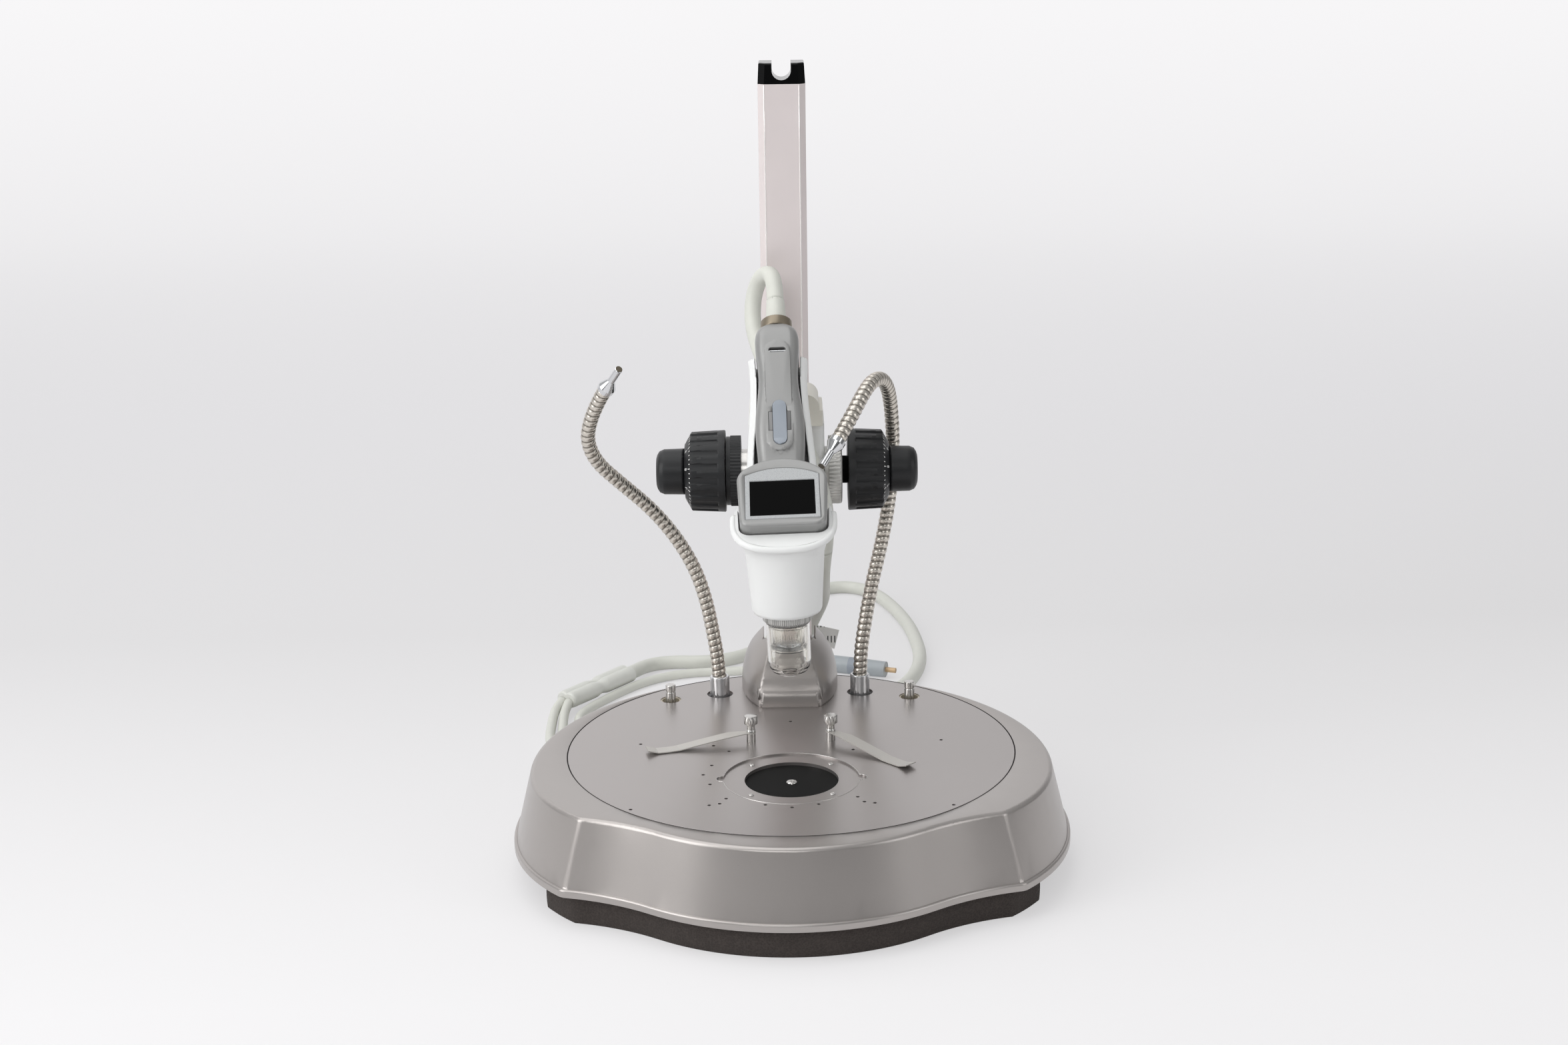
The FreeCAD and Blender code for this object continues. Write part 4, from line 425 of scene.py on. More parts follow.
@dataclass(frozen=True)
class ButtonCap(Moulded):
    """The long button: a pale blue-grey bar, and side tabs in the handle's grey behind a dark line of
    painted shade in the gap between them.
    """

    tab: Colour = srgb(128, 128, 128)
    half_width: float = 4.1
    # Width of the painted shade line in the gap between the bar and a tab.
    line: float = 0.5

    def dress(self, shader: Shader) -> None:
        """The distance from the bar's leaning middle line tells the bar, the painted shade line of the gap
        and the tab apart.
        """
        height = shader.axis(2) - float(LEAN_PIVOT[2]) * MM
        aside = (shader.axis(0) + height * math.tan(LEAN)).math("ABSOLUTE")
        off_bar = aside > self.half_width * MM
        past_gap_shade = aside > (self.half_width + self.line) * MM
        marks = shader.noise(60.0, 3.0)
        bar = shader.shades(marks, toned(self.colour, 0.97), toned(self.colour, 1.03))
        # Painted shade: dark grey in the gap, and the tab's own grey past it.
        outer = shader.shades(past_gap_shade, srgb(70, 70, 72), self.tab)
        shader.set(Base_Color=shader.shades(off_bar, bar, outer), Roughness=self.roughness + marks * 0.08)


@dataclass(frozen=True)
class TagPrint(Moulded):
    """A paper tag with a few plain dark bars on it."""

    ink: Colour = srgb(60, 60, 62)
    bars: float = 420.0
    rows: float = 90.0

    def dress(self, shader: Shader) -> None:
        """The bars are stripes of a wave along one axis, kept where a second, slower wave is high."""
        stripes = (shader.axis(0) * self.bars * 2 * math.pi).math("SINE")
        band = (shader.axis(2) * self.rows * 2 * math.pi).math("SINE")
        printed = (stripes > 0.55) * (band > 0.2)
        grain = shader.noise(self.grain, 2.0)
        colour = shader.shades(printed, self.colour, self.ink)
        shader.set(Base_Color=colour, Roughness=self.roughness + grain * 0.1)


STEEL_LINES = (1.0, 1.0, 0.08)
DRAWN_LINES = (1.0, 1.0, 0.004)
FINISHES: dict[str, Finish] = {
    f.name: f
    for f in (
        MetallicPaint("satin_grey_paint", srgb(172, 167, 164), 0.72, 0.3, 0.03),
        MetallicPaint("stage_lacquer", srgb(174, 169, 167), 0.85, 0.3, 0.03),
        MetallicPaint("silver_shell_paint", srgb(148, 148, 147), 0.3, 0.34, 0.02),
        MetallicPaint("pale_silver_paint", srgb(160, 162, 163), 0.35, 0.28, 0.02, coat=0.05),
        MetallicPaint("cast_silver_paint", srgb(166, 161, 158), 0.7, 0.3, 0.03),
        CellFoam("brown_foam", srgb(60, 54, 51), 0.0, 0.95, 0.1),
        Moulded("black_insert", srgb(9, 9, 9), 0.0, 0.6, shine=0.15),
        Machined("bright_steel", srgb(206, 204, 201), 0.9, 0.24, 0.08, lines=STEEL_LINES),
        Machined("socket_steel", srgb(216, 217, 219), 0.8, 0.2, 0.05, lines=STEEL_LINES),
        Machined("leaf_steel", srgb(200, 197, 192), 0.5, 0.45, 0.05),
        WoundSteel("spiral_steel", srgb(214, 208, 199), 1.0, 0.24, 0.1),
        Machined("chrome", srgb(216, 217, 219), 1.0, 0.1, 0.03, lines=STEEL_LINES, relief=0.000004),
        Machined("warm_brass", srgb(142, 132, 116), 0.85, 0.4, 0.08, lines=STEEL_LINES),
        Machined("pale_brass", srgb(206, 198, 180), 0.5, 0.4, 0.06, lines=STEEL_LINES),
        Machined("satin_aluminium", srgb(232, 223, 222), 0.4, 0.4, 0.02, lines=DRAWN_LINES, relief=0.00001),
        # Painted highlight: a near-white finish for the rods along the column's arrises.
        Machined("painted_highlight_edge", srgb(244, 240, 238), 0.4, 0.25, 0.02, lines=(1.0, 1.0, 0.01)),
        Machined("ring_silver", srgb(212, 211, 208), 0.35, 0.36, 0.04, lines=(0.05, 1.0, 1.0)),
        Gloss("gloss_black", srgb(5, 5, 6), 0.0, 0.07, shine=0.25),
        Gloss("lamp_glass", srgb(96, 88, 74), 0.0, 0.1),
        Moulded("cream_plastic", srgb(224, 221, 211), 0.0, 0.42),
        Moulded("white_plastic", srgb(231, 232, 231), 0.0, 0.33, 0.015),
        Moulded("black_plastic", srgb(26, 27, 29), 0.0, 0.42, 0.1, shine=0.4),
        ButtonCap("button_blue", srgb(147, 154, 163), 0.0, 0.36),
        Gloss("screen_glass", srgb(3, 3, 3), 0.0, 0.2, shine=0.03),
        Clear("clear_plastic", srgb(250, 249, 246), 0.0, 0.02, 0.0, index=1.4),
        Clear("lens_glass", srgb(226, 232, 240), 0.0, 0.02, 0.0, index=1.5),
        Knurled("lens_ring_metal", srgb(222, 221, 218), 0.35, 0.36, 0.04, middle=(0.0, -41.6), flutes=72),
        Skin("cable_skin", srgb(210, 211, 203), 0.0, 0.42, 0.05),
        Skin("junction_skin", srgb(214, 215, 209), 0.0, 0.46, 0.05),
        Skin("plug_grey", srgb(158, 164, 168), 0.0, 0.3, 0.06),
        Skin("band_blue", srgb(138, 145, 154), 0.0, 0.35, 0.05),
        Machined("tan_ferrule", srgb(196, 168, 132), 0.3, 0.45, 0.06),
        Moulded("circuit_green", srgb(24, 84, 56), 0.0, 0.4),
        TagPrint("paper", srgb(242, 242, 240), 0.0, 0.7, 0.05, grain=700.0, relief=0.00004),
        Moulded("dial_white", srgb(226, 226, 224), 0.0, 0.5),
        # Painted shade: the dark of the seam round the stage plate.
        Moulded("seam_shade", srgb(40, 38, 37), 0.0, 0.7, shine=0.2),
    )
}
MATERIALS: dict[str, bpy.types.Material] = {}


def material(name: str) -> bpy.types.Material:
    """The material of a finish, built the first time it is used."""
    if name not in MATERIALS:
        MATERIALS[name] = FINISHES[name].make()
    return MATERIALS[name]


# Mesh tools


def placed(name: str, mesh: bpy.types.Mesh) -> bpy.types.Object:
    """A new object in the scene, at the origin, with a mesh in it."""
    piece = bpy.data.objects.new(name, mesh)
    bpy.context.scene.collection.objects.link(piece)
    return piece


def mesh_piece(
    name: str, points: np.ndarray, faces: list[list[int]], finish: str, smooth: bool = True
) -> bpy.types.Object:
    """Puts points and faces into a new object.

    Args:
        name: The piece's name.
        points: Its points in millimetres, (n, 3).
        faces: Its faces as lists of point numbers.
        finish: The finish's name.
        smooth: Whether its faces are shaded smooth.

    Returns:
        The object, at the origin, in metres.
    """
    mesh = bpy.data.meshes.new(name)
    mesh.from_pydata((points * MM).tolist(), [], faces)
    mesh.polygons.foreach_set("use_smooth", np.full(len(faces), smooth))
    mesh.materials.append(material(finish))
    mesh.update()
    return placed(name, mesh)


def grid_faces(rows: int, columns: int, wrap: bool) -> np.ndarray:
    """Quads of a grid of points, row by row; wrap joins the last column to the first."""
    i, j = np.meshgrid(np.arange(rows - 1), np.arange(columns if wrap else columns - 1), indexing="ij")
    k = (j + 1) % columns
    quads = np.stack([i * columns + j, i * columns + k, (i + 1) * columns + k, (i + 1) * columns + j], -1)
    return quads.reshape(-1, 4)


def unit(vectors: np.ndarray) -> np.ndarray:
    """Vectors brought to length 1."""
    return vectors / np.linalg.norm(vectors, axis=-1, keepdims=True)


def nurbs_line(name: str, route: list[Point], step: float) -> np.ndarray:
    """Reads evenly spaced points from the smooth NURBS line of a route.

    Args:
        name: A name for the short-lived curve.
        route: Its control points in millimetres.
        step: The wanted spacing in millimetres.

    Returns:
        Points along the line, each the same arc length from the last.
    """
    curve = bpy.data.curves.new(name + "_line", "CURVE")
    curve.dimensions = "3D"
    spline = curve.splines.new("NURBS")
    spline.points.add(len(route) - 1)
    controls = np.c_[np.array(route), np.ones(len(route))]
    spline.points.foreach_set("co", controls.ravel())
    spline.order_u = 3
    spline.use_endpoint_u = True
    spline.resolution_u = 16
    carrier = bpy.data.objects.new(curve.name, curve)
    mesh = bpy.data.meshes.new_from_object(carrier)
    line = points_of(mesh, 1.0)
    bpy.data.meshes.remove(mesh)
    bpy.data.objects.remove(carrier)
    bpy.data.curves.remove(curve)
    travelled = np.r_[0.0, np.cumsum(np.linalg.norm(np.diff(line, axis=0), axis=1))]
    count = max(3, int(round(travelled[-1] / step)) + 1)
    spots = np.linspace(0.0, travelled[-1], count)
    return np.stack([np.interp(spots, travelled, line[:, axis]) for axis in range(3)], -1)


def line_length(line: np.ndarray) -> float:
    """The length of a line of points."""
    return float(np.linalg.norm(np.diff(line, axis=0), axis=1).sum())


def tube_points(line: np.ndarray, across: Point, radius: np.ndarray, turn: np.ndarray) -> np.ndarray:
    """A tube round a line: each point is the line's plus radius times a direction square to it.

    Args:
        line: The centre line, (n, 3).
        across: A direction that the line never runs along; it fixes where the turn starts.
        radius: The radius at each place and turn, (n, m).
        turn: The angles round the line, (m,).

    Returns:
        The tube's points, (n, m, 3).
    """
    run = unit(np.gradient(line, axis=0))
    side = unit(np.cross(run, np.array(across)))
    up = np.cross(run, side)
    ring = np.cos(turn)[None, :, None] * side[:, None] + np.sin(turn)[None, :, None] * up[:, None]
    return line[:, None] + radius[..., None] * ring


def capped_tube(name: str, rings: np.ndarray, finish: str) -> bpy.types.Object:
    """A closed tube from rings of points, with a middle point in each end."""
    rows, columns = rings.shape[:2]
    points = np.concatenate([rings.reshape(-1, 3), rings[0].mean(0)[None], rings[-1].mean(0)[None]])
    walls = grid_faces(rows, columns, True)
    j = np.arange(columns)
    k = (j + 1) % columns
    first = np.stack([np.full(columns, rows * columns), k, j], -1)
    base = (rows - 1) * columns
    last = np.stack([np.full(columns, rows * columns + 1), base + j, base + k], -1)
    piece = mesh_piece(name, points, walls.tolist() + first.tolist() + last.tolist(), finish)
    outwards(piece.data)
    return piece


def outwards(mesh: bpy.types.Mesh) -> None:
    """Turns every face of a closed mesh outwards."""
    shape = bmesh.new()
    shape.from_mesh(mesh)
    bmesh.ops.recalc_face_normals(shape, faces=shape.faces)
    shape.to_mesh(mesh)
    shape.free()


def cad_copy(
    node: str, finish: str, name: str | None = None, crease: float = 34.0, softened: float = 0.0
) -> bpy.types.Object:
    """A smooth-shaded copy of a CAD node that stands for it.

    Args:
        node: The CAD node's name.
        finish: The finish's name.
        name: The copy's name, or None for the node's with _dressed.
        crease: The angle in degrees above which an edge stays sharp.
        softened: How wide its sharp edges are rounded, in millimetres.

    Returns:
        The copy, its loose triangles merged.
    """
    mesh = frame["nodes"][node].data.copy()
    mesh.name = name or node + "_dressed"
    shape = bmesh.new()
    shape.from_mesh(mesh)
    bmesh.ops.remove_doubles(shape, verts=shape.verts, dist=2e-6)
    bmesh.ops.dissolve_degenerate(shape, edges=shape.edges, dist=1e-6)
    if softened:
        bmesh.ops.dissolve_limit(shape, angle_limit=0.01, verts=shape.verts, edges=shape.edges)
    shape.to_mesh(mesh)
    shape.free()
    mesh.polygons.foreach_set("use_smooth", np.full(len(mesh.polygons), True))
    mesh.set_sharp_from_angle(angle=math.radians(crease))
    mesh.materials.clear()
    mesh.materials.append(material(finish))
    piece = placed(mesh.name, mesh)
    if softened:
        rounding = piece.modifiers.new("rounding", "BEVEL")
        rounding.width = softened * MM
        rounding.segments = 3
        rounding.angle_limit = math.radians(crease)
    even = piece.modifiers.new("even_normals", "WEIGHTED_NORMAL")
    even.keep_sharp = True
    even.weight = 60
    return piece


def points_of(mesh: bpy.types.Mesh, scale: float = MM) -> np.ndarray:
    """A mesh's points, (n, 3), in millimetres, or as they are with a scale of 1."""
    points = np.empty(len(mesh.vertices) * 3)
    mesh.vertices.foreach_get("co", points)
    return points.reshape(-1, 3) / scale


def move_points(mesh: bpy.types.Mesh, points: np.ndarray) -> None:
    """Moves a mesh's points to new places in millimetres."""
    mesh.vertices.foreach_set("co", (points * MM).ravel())
    mesh.update()


def body_with(node: str) -> str:
    """The name of the body that holds a CAD node."""
    bodies = frame["record"]["behaviour"]["bodies"]
    return next(body for body, nodes in bodies.items() if node in nodes)


def slot_of(node: str) -> str:
    """The material slot that the record gives a CAD node."""
    return next(part["material_slot"] for part in frame["record"]["subparts"] if part["node"] == node)


def ride_with(piece: bpy.types.Object, node: str) -> bpy.types.Object:
    """Puts a piece on a CAD node's body."""
    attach(piece, body_with(node))
    slot_of(node)
    return piece


def stand_for(piece: bpy.types.Object, node: str) -> bpy.types.Object:
    """Shows a piece in a CAD node's place, on its body."""
    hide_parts(node)
    return ride_with(piece, node)


# Sub-assemblies


class Body(Enum):
    """The bodies that cords and printed marks ride on."""

    STAND = "stand"
    CARRIAGE = "carriage"
    HEAD = "head"
    COARSE = "coarse_drive"


@dataclass
class DressedNodes:
    """CAD nodes whose shape is right: each gets its finish."""

    finishes: dict[str, tuple[str, ...]]

    def build(self) -> int:
        """Dresses every named node, and returns how many there were."""
        count = 0
        for finish, nodes in self.finishes.items():
            for node in nodes:
                self.dress(node, finish)
                count += 1
        return count

    def dress(self, node: str, finish: str) -> None:
        """Gives one node its finish through its object's own material slots."""
        piece = frame["nodes"][node]
        for slot in piece.material_slots:
            slot.link = "OBJECT"
            slot.material = material(finish)


@dataclass
class SmoothedNodes:
    """CAD nodes with curved walls, shown as merged and smooth-shaded copies."""

    finishes: dict[str, tuple[str, ...]]
    softened: float = 0.0

    def build(self) -> int:
        """Copies every named node, and returns how many there were."""
        count = 0
        for finish, nodes in self.finishes.items():
            for node in nodes:
                stand_for(cad_copy(node, finish, softened=self.softened), node)
                count += 1
        return count


@dataclass
class FoamPad:
    """The foam block under the base: soft arrises, and a wall that bulges a little under the load."""

    arris: float = 1.2
    bulge: float = 0.5

    def build(self) -> bpy.types.Object:
        """Builds the block from rings of the CAD pad's outline.

        Each ring is the outline moved inwards by bulge (2 s - 1)^2 and by a quarter circle at the arrises,
        where s goes from 0 at the foot to 1 at the top.
        """
        outline = self.outline()
        bottom, top = (corner[2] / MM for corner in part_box("foam_pad"))
        turn = np.linspace(0.0, np.pi / 2, 5)
        fall = self.arris * (1 - np.sin(turn))
        lift = self.arris * (1 - np.cos(turn))
        walls = np.linspace(bottom + self.arris, top - self.arris, 8)
        height = np.concatenate([bottom + lift, walls[1:-1], (top - lift)[::-1]])
        share = (height - bottom) / (top - bottom)
        inwards = np.concatenate([fall, np.zeros(len(walls) - 2), fall[::-1]])
        inwards += self.bulge * (2 * share - 1) ** 2
        closed = np.concatenate([outline[-1:], outline, outline[:1]])
        run = unit(closed[2:] - closed[:-2])
        normal = np.stack([run[:, 1], -run[:, 0]], -1)
        flat = outline[None] - inwards[:, None, None] * normal[None]
        rings = np.concatenate([flat, np.broadcast_to(height[:, None, None], (*flat.shape[:2], 1))], -1)
        piece = capped_tube("foam_block", rings, "brown_foam")
        piece.data.set_sharp_from_angle(angle=math.radians(50))
        stand_for(piece, "foam_pad")
        return piece

    def outline(self) -> np.ndarray:
        """The CAD pad's outline from above, anticlockwise: the rim of its foot, walked edge by edge."""
        shape = bmesh.new()
        shape.from_mesh(frame["nodes"]["foam_pad"].data)
        bmesh.ops.remove_doubles(shape, verts=shape.verts, dist=2e-6)
        foot = min(v.co.z for v in shape.verts)
        rim = {}
        for face in shape.faces:
            if abs(face.normal.z) > 0.5:
                continue
            low = [loop for loop in face.loops if loop.vert.co.z < foot + 1e-5]
            for loop in low:
                following = loop.link_loop_next
                if following.vert.co.z < foot + 1e-5:
                    rim[loop.vert.index] = (following.vert.index, tuple(loop.vert.co))
        start = max(rim, key=lambda index: abs(rim[index][1][0]))
        spots, here = [], start
        while not spots or here != start:
            following, spot = rim[here]
            spots.append(spot[:2])
            here = following
        shape.free()
        outline = np.array(spots) / MM
        after = np.roll(outline, -1, axis=0)
        area = (outline[:, 0] * after[:, 1] - outline[:, 1] * after[:, 0]).sum()
        return outline if area > 0 else outline[::-1].copy()


@dataclass
class ColumnEdge:
    """A painted highlight: a bright rod along the arris between the column's front and its bevelled corner.
    """

    word: str
    spot: tuple[float, float]
    bottom: float = 76.0
    top: float = 464.5
    radius: float = 0.45

    def build(self) -> bpy.types.Object:
        """Builds a thin upright rod, most of it inside the column's wall, in a near-white finish that
        paints the arris's highlight.
        """
        z = np.linspace(self.bottom, self.top, 12)
        line = np.stack([np.full_like(z, self.spot[0]), np.full_like(z, self.spot[1]), z], -1)
        turn = np.linspace(0.0, 2 * np.pi, 12, endpoint=False)
        radius = np.full((len(z), len(turn)), self.radius)
        rings = tube_points(line, (0.0, 1.0, 0.0), radius, turn)
        piece = capped_tube("column_edge_" + self.word, rings, "painted_highlight_edge")
        return ride_with(piece, "column")


@dataclass
class Gooseneck:
    """A flexible steel light guide: a tube wound from a round-edged strip, with a groove at each turn."""

    word: str
    route: list[Point]
    radius: float = 4.7
    pitch: float = 4.3
    depth: float = 0.85
    around: int = 36
    steps_per_turn: int = 8

    def build(self) -> bpy.types.Object:
        """Builds the wound tube.

        The radius is R - d (1 - |sin(pi u)|^0.6), where u counts turns along the tube less turns round it.
        """
        line = nurbs_line("guide", self.route, self.pitch / self.steps_per_turn)
        turn = np.linspace(0.0, 2 * np.pi, self.around, endpoint=False)
        along = np.linspace(0.0, line_length(line) / self.pitch, len(line))
        strip = np.abs(np.sin(np.pi * (along[:, None] - turn[None] / (2 * np.pi)))) ** 0.6
        # Crown values for the painted shade: 0 down in the grooves, where the steel's finish darkens it,
        # and 1 on the crowns.
        crown = np.clip(strip * 2.0 - 0.4, 0.0, 1.0)
        radius = self.radius - self.depth * (1 - strip)
        rings = tube_points(line, (0.0, 1.0, 0.0), radius, turn)
        piece = capped_tube("wound_guide_" + self.word, rings, "spiral_steel")
        values = np.r_[crown.ravel(), 1.0, 1.0]
        piece.data.attributes.new("crown", "FLOAT", "POINT").data.foreach_set("value", values)
        return stand_for(piece, "light_guide_" + self.word)


@dataclass
class LightTip:
    """The chrome end of a light guide: a collar, a cone and a thick rod."""

    word: str
    route: list[Point]
    collar_radius: float = 5.5
    collar_length: float = 3.6
    cone_length: float = 6.0
    rod_length: float = 12.0
    rod_radius: float = 2.45
    chamfer: float = 0.3

    def build(self) -> bpy.types.Object:
        """Builds the tip: a profile of distances and radii turned round the guide's last direction."""
        end = np.array(self.route[-1])
        run = unit(end - np.array(self.route[-2]))
        cone_end = self.collar_length + self.cone_length
        far = cone_end + self.rod_length
        edge = self.chamfer
        along = np.array([0.0, edge, self.collar_length, cone_end, far - edge, far])
        across = np.repeat([self.collar_radius, self.rod_radius], 3) - edge * np.array([1, 0, 0, 0, 0, 1])
        turn = np.linspace(0.0, 2 * np.pi, 32, endpoint=False)
        radius = np.broadcast_to(across[:, None], (len(across), len(turn)))
        rings = tube_points(end + along[:, None] * run, (0.0, 1.0, 0.0), radius, turn)
        piece = capped_tube("chrome_tip_" + self.word, rings, "chrome")
        piece.data.set_sharp_from_angle(angle=math.radians(20))
        return stand_for(piece, "light_tip_" + self.word)


def tip_glasses(routes: tuple[list[Point], ...], growth: float = 1.024) -> bpy.types.Object:
    """The glass discs in both tips: the CAD's, each grown about its own tip's axis."""
    piece = cad_copy("light_lenses", "lamp_glass", "tip_glasses")
    points = points_of(piece.data)
    for route in routes:
        end = np.array(route[-1])
        run = unit(end - np.array(route[-2]))
        away = points - end
        on_axis = end + (away @ run)[:, None] * run
        near = np.linalg.norm(away, axis=1)[:, None] < 40.0
        points = np.where(near, on_axis + (points - on_axis) * growth, points)
    move_points(piece.data, points)
    return stand_for(piece, "light_lenses")


@dataclass
class TwinSleeve:
    """The moulded sleeve where the cable parts: two barrels side by side, waisted and with stepped ends."""

    start: Point = (-121.6, 312.6, 9.5)
    run: Point = (-42.0, -58.5, 0.0)
    length: float = 72.0
    offset: float = 3.1
    lift: float = 1.0
    stations: tuple[tuple[float, float], ...] = (
        (0.0, 4.9), (0.012, 5.7), (0.03, 5.9), (0.40, 5.9), (0.44, 5.7), (0.49, 4.9), (0.52, 4.7),
        (0.55, 4.9), (0.60, 5.7), (0.64, 5.9), (0.95, 5.9), (0.985, 5.7), (1.0, 4.9),
    )

    def build(self) -> bpy.types.Object:
        """Builds the sleeve.

        At each turn t its reach is the far side of two circles: o |cos t| + sqrt(r^2 - o^2 sin^2 t).
        """
        run = unit(np.array(self.run))
        side = np.array([run[1], -run[0], 0.0])
        up = np.array([0.0, 0.0, 1.0])
        turn = np.linspace(0.0, 2 * np.pi, 48, endpoint=False)
        places, radii = np.array(self.stations).T
        share = np.unique(np.concatenate([np.linspace(0.0, 1.0, 73), places]))
        radius = np.interp(share, places, radii)[:, None]
        reach = self.offset * np.abs(np.cos(turn)) + np.sqrt(radius**2 - (self.offset * np.sin(turn)) ** 2)
        middle = np.array(self.start) + share[:, None] * self.length * run + self.lift * up
        ring = np.cos(turn)[:, None] * side + np.sin(turn)[:, None] * up
        piece = capped_tube("twin_sleeve", middle[:, None] + reach[..., None] * ring, "junction_skin")
        piece.data.set_sharp_from_angle(angle=math.radians(50))
        return stand_for(piece, "cable_junction")


@dataclass
class Cord:
    """A free cable as a smooth tube along its NURBS route, with a note of what it ends in."""

    name: str
    node: str
    route: list[Point]
    radius: float
    across: Point
    body: Body
    far_end: str
    stiffness: str
    lay: str
    finish: str = "cable_skin"
    blend_to: Body | None = None
    around: int = 28
    step: float = 1.6

    def build(self, with_pieces: tuple[Any, ...] = ()) -> bpy.types.Object:
        """Args:
            with_pieces: Not used.

        Returns:
            The cord's tube: radius times the unit circle square to the line at each point of it.
        """
        line = nurbs_line(self.name, self.route, self.step)
        turn = np.linspace(0.0, 2 * np.pi, self.around, endpoint=False)
        radius = np.full((len(line), self.around), self.radius)
        piece = capped_tube(self.name, tube_points(line, self.across, radius, turn), self.finish)
        self.attach(piece)
        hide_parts(self.node)
        2 * self.radius * MM
        return piece

    def attach(self, piece: bpy.types.Object) -> None:
        """Rides a piece on the cord's body; where the cord has a second body the piece is only baked in
        place, on no body.
        """
        if self.blend_to is None:
            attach(piece, self.body.value)
            return
        start, end = (tuple(v * MM for v in spot) for spot in (self.route[0], self.route[-1]))
        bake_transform(piece)


@dataclass
class ClipLeaf:
    """A stage clip's spring leaf: the CAD leaf, grown wider away from its eye as the real strip is."""

    word: str
    post: tuple[float, float]
    growth: float = 0.8
    start: float = 4.0
    full: float = 11.0

    def build(self) -> bpy.types.Object:
        """Builds the leaf, with its points moved away from the middle line, further along it the more."""
        node = "clip_leaf_" + self.word
        piece = cad_copy(node, "leaf_steel", "spring_leaf_" + self.word)
        points = points_of(piece.data)
        flat = points[:, :2] - np.array(self.post)
        run = unit(flat.mean(0))
        across = np.array([-run[1], run[0]])
        share = np.clip((flat @ run - self.start) / (self.full - self.start), 0.0, 1.0)
        share = share * share * (3 - 2 * share)
        points[:, :2] += np.outer((flat @ across) * self.growth * share, across)
        move_points(piece.data, points)
        return stand_for(piece, node)


@dataclass
class RimBead:
    """The rolled lip round the front of the holder's scoop."""

    half_width: float = 29.3
    middle_y: float = -41.6
    front_y: float = -68.0
    front_z: float = 218.5
    slope: float = 20.0
    fullness: float = 2.6
    radius: float = 2.1
    out: float = 0.2
    down: float = 1.9
    start: float = -12.0

    def build(self) -> bpy.types.Object:
        """Builds the lip.

        Its middle line is a squared half circle: cosine and sine, each times (|cos|^n + |sin|^n)^(-1/n),
        spread to the half width and the depth, and raised along the slope. A round tube follows it.
        """
        angle = np.radians(np.linspace(self.start, 180 - self.start, 90))
        c, s = np.cos(angle), np.sin(angle)
        full = (np.abs(c) ** self.fullness + np.abs(s) ** self.fullness) ** (-1 / self.fullness)
        depth = self.middle_y - self.front_y
        x = (self.half_width + self.out) * c * full
        y = self.middle_y - (depth + self.out) * s * full
        z = self.front_z + (y - self.front_y) * math.tan(math.radians(self.slope)) - self.down
        line = leaned(np.stack([x, y, z], -1))
        turn = np.linspace(0.0, 2 * np.pi, 20, endpoint=False)
        radius = np.full((len(line), len(turn)), self.radius)
        piece = capped_tube("scoop_lip", tube_points(line, (0.0, 0.0, 1.0), radius, turn), "white_plastic")
        return ride_with(piece, "holder")


@dataclass
class EdgeBead:
    """A fine bead along an edge of the stage: a bright one is a painted highlight on the edge, a dark one
    painted shade in a seam.
    """

    name: str
    outline: np.ndarray
    finish: str = "bright_steel"
    radius: float = 0.22

    def build(self) -> bpy.types.Object:
        """Builds a thin round bead along a closed outline, by carrying a small circle round it."""
        line = np.concatenate([self.outline[-1:], self.outline, self.outline[:1]])
        run = unit(line[2:] - line[:-2])
        side = unit(np.cross(run, np.array([0.0, 0.0, 1.0])))
        turn = np.linspace(0.0, 2 * np.pi, 8, endpoint=False)
        up = np.array([0.0, 0.0, 1.0])
        ring = np.cos(turn)[None, :, None] * side[:, None] + np.sin(turn)[None, :, None] * up
        points = self.outline[:, None] + self.radius * ring
        closed = np.concatenate([points, points[:1]])
        faces = grid_faces(len(closed), len(turn), True) % (len(points) * len(turn))
        piece = mesh_piece(self.name, points.reshape(-1, 3), faces.tolist(), self.finish)
        outwards(piece.data)
        return ride_with(piece, "stage_plate")


def recess_outline(radius: float = 41.4, ear: float = 4.2, middle_y: float = -41.6) -> np.ndarray:
    """The stage recess's edge: a circle, and past it at each side the rounder ear.

    Args:
        radius: The recess's radius.
        ear: The radius of the ears, whose middles lie on the recess's edge.
        middle_y: Where the recess's middle lies.

    Returns:
        Points in millimetres. At each turn the distance is the larger of the circle's and the ear's,
        which is d cos + sqrt(e^2 - d^2 sin^2) where the ray meets the ear.
    """
    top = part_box("stage_plate")[1][2] / MM
    turn = np.linspace(0.0, 2 * np.pi, 720, endpoint=False)
    under = ear**2 - (radius * np.sin(turn)) ** 2
    reach = np.where(under > 0, radius * np.abs(np.cos(turn)) + np.sqrt(np.maximum(under, 0.0)), radius)
    reach = np.maximum(reach, radius)
    return np.stack([reach * np.cos(turn), middle_y + reach * np.sin(turn), np.full_like(turn, top)], -1)


def seam_outline(radius: float = 139.65, middle_y: float = 9.0, sunk: float = 0.12) -> np.ndarray:
    """The seam between the stage plate and the base: a circle of that radius, just under the top face."""
    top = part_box("stage_plate")[1][2] / MM
    turn = np.linspace(0.0, 2 * np.pi, 480, endpoint=False)
    height = np.full_like(turn, top - sunk)
    return np.stack([radius * np.cos(turn), middle_y + radius * np.sin(turn), height], -1)


